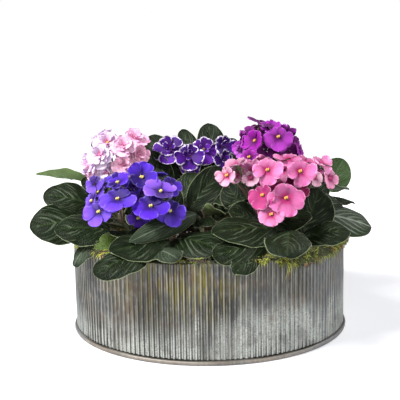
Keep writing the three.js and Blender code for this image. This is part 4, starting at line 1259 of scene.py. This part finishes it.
# Pink flowers
# Single flowers, rose pink with a darker ring round the throat and orange anthers.
pink_blooms = [
    ((21, -92, 186), (-0.5, -0.8, 0.3), 11),
    ((32, -80, 195), (-0.4, -0.2, 0.9), 14),
    ((63, -100, 192), (-0.1, -0.9, 0.42), 15.5),
    ((97, -100, 190), (0.15, -0.9, 0.42), 15),
    ((86, -82, 201), (0, -0.3, 0.95), 15),
    ((112, -92, 183), (0.5, -0.7, 0.5), 11),
    ((131, -78, 180), (0.6, -0.8, 0.1), 11),
    ((122, -74, 195), (0.5, -0.3, 0.8), 13),
    ((57, -112, 167), (-0.35, -0.85, 0.4), 14.5),
    ((80, -116, 164), (0.1, -0.95, 0.3), 19),
    ((65, -122, 148), (-0.1, -0.85, 0.5), 13),
    ((62, -60, 192), (-0.1, 0.6, 0.8), 15),
]
pink_petal = petal_finish("pink_petal", (0.4, 0.02, 0.14), (0.88, 0.6, 0.76), 1.6, 0.32, 0.5)
# The sixth and seventh colours are lighter: painted light that lifts those two flowers, which face
# away to the right, out of their shade.
PINK_TONES = [
    (0.68, 0.33, 0.47), (0.56, 0.25, 0.38), (0.62, 0.17, 0.38), (0.6, 0.15, 0.36),
    (0.56, 0.14, 0.33), (0.8, 0.45, 0.58), (0.92, 0.36, 0.58), (0.62, 0.2, 0.4),
    (0.42, 0.035, 0.18), (0.63, 0.15, 0.37), (0.62, 0.2, 0.4), (0.46, 0.09, 0.25),
]
anther_orange = anther_finish("anther_orange", (0.95, 0.55, 0.12), (0.6, 0.18, 0.03))
pink_closed = (2, 5, 7, 8)
pink_seats = open_flowers(
    "pink", "single", pink_blooms, pink_petal, PINK_TONES, anther_orange, pink_closed
)
# Painted shade: most of these are darker than the open flowers' colours, for the shade that the
# small flowers stand in between the others.
PINK_SHADED = [
    (0.7, 0.4, 0.52), (0.56, 0.16, 0.34), (0.26, 0.015, 0.08), (0.24, 0.012, 0.07),
    (0.6, 0.18, 0.38), (0.5, 0.12, 0.28), (0.56, 0.14, 0.32), (0.22, 0.012, 0.06),
    (0.55, 0.25, 0.35), (0.36, 0.04, 0.16), (0.3, 0.02, 0.1), (0.55, 0.16, 0.34),
    (0.42, 0.07, 0.22),
]
pink_small = [
    ((46, -84, 182), (-0.2, -0.9, 0.3), 9),
    ((81, -78, 189), (-0.3, -0.7, 0.6), 13),
    ((74, -86, 172), (0.1, -0.8, -0.3), 12),
    ((99, -84, 168), (0.2, -0.9, -0.2), 10),
    ((127, -66, 181), (0.7, -0.6, 0.2), 8),
    ((43, -66, 193), (0.2, -0.6, 0.8), 11),
    ((107, -70, 195), (0.1, -0.5, 0.8), 12),
    ((58, -92, 154), (-0.4, -0.8, 0.1), 10),
    ((31, -72, 184), (-0.2, -0.8, 0.5), 11),
    ((88, -76, 182), (0, -0.9, 0.3), 14),
    ((66, -84, 176), (-0.1, -0.9, 0.2), 14),
    ((50, -74, 190), (-0.1, -0.8, 0.5), 12),
    ((112, -74, 186), (0.2, -0.9, 0.4), 12),
]
pink_small_seats = small_flowers("pink", "single", pink_small, pink_petal, PINK_SHADED)

# Pale flowers
# Double flowers, nearly white with pink hearts and mauve tips.
pale_blooms = [
    ((-120, 20, 214), (-0.1, -0.8, 0.6), 17),
    ((-141, 12, 190), (-0.7, -0.7, 0.1), 16),
    ((-125, 6, 200), (-0.3, -0.9, 0.3), 16),
    ((-120, 8, 182), (-0.2, -0.95, 0), 15),
    ((-102, 10, 188), (0.3, -0.9, 0.2), 15),
    ((-89, 38, 217), (0.4, -0.5, 0.8), 17),
    ((-101, 16, 208), (0.1, -0.85, 0.5), 15),
    ((-88, 22, 199), (0.6, -0.75, 0.2), 15),
    ((-128, 48, 216), (-0.5, 0.3, 0.8), 17),
]
pale_petal = petal_finish("pale_petal", (0.82, 0.3, 0.53), (0.42, 0.2, 0.55), 0.8, 0.5, 0.25)
# The fifth and eighth colours are pinker and lighter. The pink is their own, and the extra
# lightness is painted light that lifts the flowers taking them out of the shade of those above.
PALE_TONES = [
    (0.74, 0.55, 0.72), (0.72, 0.56, 0.76), (0.74, 0.6, 0.76), (0.8, 0.68, 0.8),
    (0.98, 0.58, 0.74), (0.76, 0.4, 0.58), (0.8, 0.48, 0.64), (0.98, 0.5, 0.68),
    (0.74, 0.6, 0.76),
]
pale_closed = range(2, 10)
pale_seats = open_flowers(
    "pale", "double", pale_blooms, pale_petal, PALE_TONES, closed=pale_closed
)
pale_small = [
    ((-133, 26, 203), (-0.5, -0.7, 0.5), 14),
    ((-120, 6, 180), (-0.1, -0.95, -0.1), 14),
    ((-104, 30, 204), (0.1, -0.7, 0.7), 14),
    ((-91, 16, 186), (0.5, -0.8, 0.1), 12),
    ((-139, 10, 183), (-0.5, -0.8, 0), 12),
]
pale_small_seats = small_flowers("pale", "double", pale_small, pale_petal, PALE_TONES)

# Magenta flowers
# Single flowers of a strong red-purple on tall stalks.
magenta_blooms = [
    ((85, 20, 218), (0.1, -0.9, 0.4), 17),
    ((58, 20, 214), (-0.7, -0.7, 0.2), 16),
    ((64, 42, 231), (0.36, -0.14, 0.92), 16),
    ((46, 38, 214), (-1, -0.1, 0.2), 14),
    ((50, 6, 196), (-0.5, -0.85, 0.1), 12),
    ((93, 44, 222), (0.2, 0.5, 0.85), 15),
    ((112, 40, 202), (0.9, -0.3, 0.3), 14),
]
magenta_petal = petal_finish("magenta_petal", (0.1, 0.002, 0.1), (0.7, 0.3, 0.75))
MAGENTA_TONES = [
    (0.36, 0.035, 0.4), (0.34, 0.01, 0.36), (0.1, 0.004, 0.1), (0.3, 0.02, 0.33),
    (0.36, 0.02, 0.36),
]
magenta_closed = (3, 4, 7)
magenta_seats = open_flowers(
    "magenta", "single", magenta_blooms, magenta_petal, MAGENTA_TONES, anther_orange, magenta_closed
)
# Painted shade: mostly darker colours, for the shade that the small flowers stand in between the
# others.
MAGENTA_SHADED = [
    (0.2, 0.006, 0.2), (0.18, 0.005, 0.18), (0.34, 0.02, 0.38), (0.42, 0.09, 0.5),
    (0.22, 0.01, 0.22),
]
magenta_small = [
    ((71, 30, 202), (-0.1, -0.95, 0.1), 13),
    ((100, 32, 199), (0.3, -0.9, -0.1), 14),
    ((77, 38, 229), (0, -0.7, 0.6), 12),
    ((41, 30, 202), (-0.7, -0.6, 0.1), 9),
    ((104, 36, 208), (0.5, -0.8, 0.2), 11),
    ((52, 44, 222), (-0.4, -0.7, 0.5), 11),
    ((61, 48, 221), (0, -0.85, 0.4), 14),
    ((40, 46, 204), (-0.3, -0.8, 0.4), 10),
]
magenta_small_seats = small_flowers(
    "magenta", "single", magenta_small, magenta_petal, MAGENTA_SHADED
)

# Edged flowers
# Half-double waved flowers, dark violet with a white border on every petal.
edged_blooms = [
    ((-46, 60, 202), (-0.2, -0.85, 0.5), 21),
    ((-23, 48, 194), (0, -0.95, 0.3), 18),
    ((-6, 62, 200), (0.3, -0.85, 0.4), 19),
    ((19, 66, 204), (0.6, -0.75, 0.3), 17),
    ((-10, 112, 168), (-0.1, 0.9, 0.45), 17),
]
edged_petal = petal_finish("edged_petal", (0.05, 0.004, 0.13), (0.82, 0.74, 0.9), 2.4, 1.0)
EDGED_TONES = [(0.07, 0.005, 0.24), (0.06, 0.004, 0.22), (0.12, 0.012, 0.34)]
edged_closed = (1, 2, 4)
edged_seats = open_flowers(
    "edged", "waved", edged_blooms, edged_petal, EDGED_TONES, closed=edged_closed
)
edged_small = [
    ((-50, 66, 201), (-0.1, -0.6, 0.8), 15),
    ((18, 58, 190), (0.5, -0.8, 0.1), 14),
    ((-22, 52, 181), (-0.1, -0.9, -0.1), 13),
]
edged_small_seats = small_flowers("edged", "waved", edged_small, edged_petal, EDGED_TONES)

# Flower stalks
# Each plant sends up thick stalks from its crown, which branch near the top into one thin stalk
# for each flower. The thin stalks bow to one side where a leaf or a flower is in the way.
BRANCH_STEP = 0.06
BOW_REACHES = (6, 12, 18, 26, 34)


def cubic(points, share):
    """Point on a cubic curve of four points at a share from 0 to 1."""
    a, b, c, d = points
    share = np.asarray(share)[:, None]
    left = 1 - share
    return left**3 * a + 3 * left**2 * share * b + 3 * left * share**2 * c + share**3 * d


def bows(start, end, front):
    """Middle points of the ways that a thin stalk may bow: straight, then out to eight sides."""
    middle = (start + end - 6 * MM * front) / 2
    across = unit(np.cross(front, start - end))
    along = unit(np.cross(across, front))
    turn = np.arange(8) * np.pi / 4
    ring = np.cos(turn)[:, None] * across + np.sin(turn)[:, None] * along
    return [middle] + [middle + reach * MM * way for reach in BOW_REACHES for way in ring]


def solid_tree(name):
    """Search tree over a CAD node's faces."""
    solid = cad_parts[name].data
    faces = [p.vertices for p in solid.polygons]
    return BVHTree.FromPolygons([v.co for v in solid.vertices], faces)


def flower_stalks(plant, crown, hubs, seats, small_seats, material):
    """Stalks of one plant, which branch at its hubs, in mm. Of all the ways that a thin stalk may
    bow, it takes the one that keeps nearest to the plant's own solid from end to end. The stalk
    of a small flower comes from the nearest hub."""
    solid = solid_tree(plant + "_plant")
    foot = np.array([*crown, 0]) * MM
    foot[2] = CROWN_TOP - 4 * MM
    parts, branches = [], []
    share = np.linspace(0, 1, 18)
    for hub in np.array(hubs) * MM:
        bend = foot + (hub - foot) * 0.7
        bend[2] = (foot[2] + hub[2]) / 2
        branches.append([foot, bend, hub, 0])
        parts.append((*stem(quadratic(foot, bend, hub, share), (2.0 - 0.5 * share) * MM), {}))
    for throat, front in seats:
        end = throat - front * (TUBE_LENGTH + SEAT_GAP)
        found = []
        for number, (start, bend, hub, used) in enumerate(branches):
            root = quadratic(start, bend, hub, 1 - BRANCH_STEP * (used + 0.3))
            for middle in bows(root, end, front):
                way = (root, middle, end - 6 * MM * front, end)
                tested = cubic(way, np.linspace(0.1, 0.9, 8))
                gaps = [solid.find_nearest(Vector(point))[3] for point in tested]
                found.append((max(gaps), number, way))
        _, number, way = min(found, key=lambda f: f[0])
        branches[number][3] += 1
        path = cubic(way, share)
        parts.append((*stem(path, (1.25 - 0.35 * share) * MM, 8), {}))
    for throat, front in small_seats:
        end = throat - front * TUBE_LENGTH
        _, _, root, _ = min(branches, key=lambda b: np.linalg.norm(b[2] - end))
        middle = (root + end) / 2 - front * 8 * MM
        path = cubic((root, middle, end - 6 * MM * front, end), share)
        parts.append((*stem(path, (1.1 - 0.35 * share) * MM, 8), {}))
    points, faces, _ = joined(parts)
    new_piece(plant + "_flower_stalks", points, faces, material, slot="leaf")


stalk_red = green_stalk("stalk_red", (0.13, 0.03, 0.035), (0.12, 0.1, 0.05))
blue_hubs = [(-96, -82, 138), (-58, -84, 138)]
flower_stalks("blue", blue_crown, blue_hubs, blue_seats, blue_small_seats, stalk_green)
pink_hubs = [(50, -66, 150), (92, -72, 150)]
flower_stalks("pink", pink_crown, pink_hubs, pink_seats, pink_small_seats, stalk_red)
pale_hubs = [(-114, 40, 165), (-92, 44, 168)]
flower_stalks("pale", pale_crown, pale_hubs, pale_seats, pale_small_seats, stalk_green)
magenta_hubs = [(62, 46, 172), (94, 46, 170)]
flower_stalks(
    "magenta", magenta_crown, magenta_hubs, magenta_seats, magenta_small_seats, stalk_red
)
edged_hubs = [(-26, 62, 165), (6, 66, 168)]
flower_stalks("edged", edged_crown, edged_hubs, edged_seats, edged_small_seats, stalk_green)
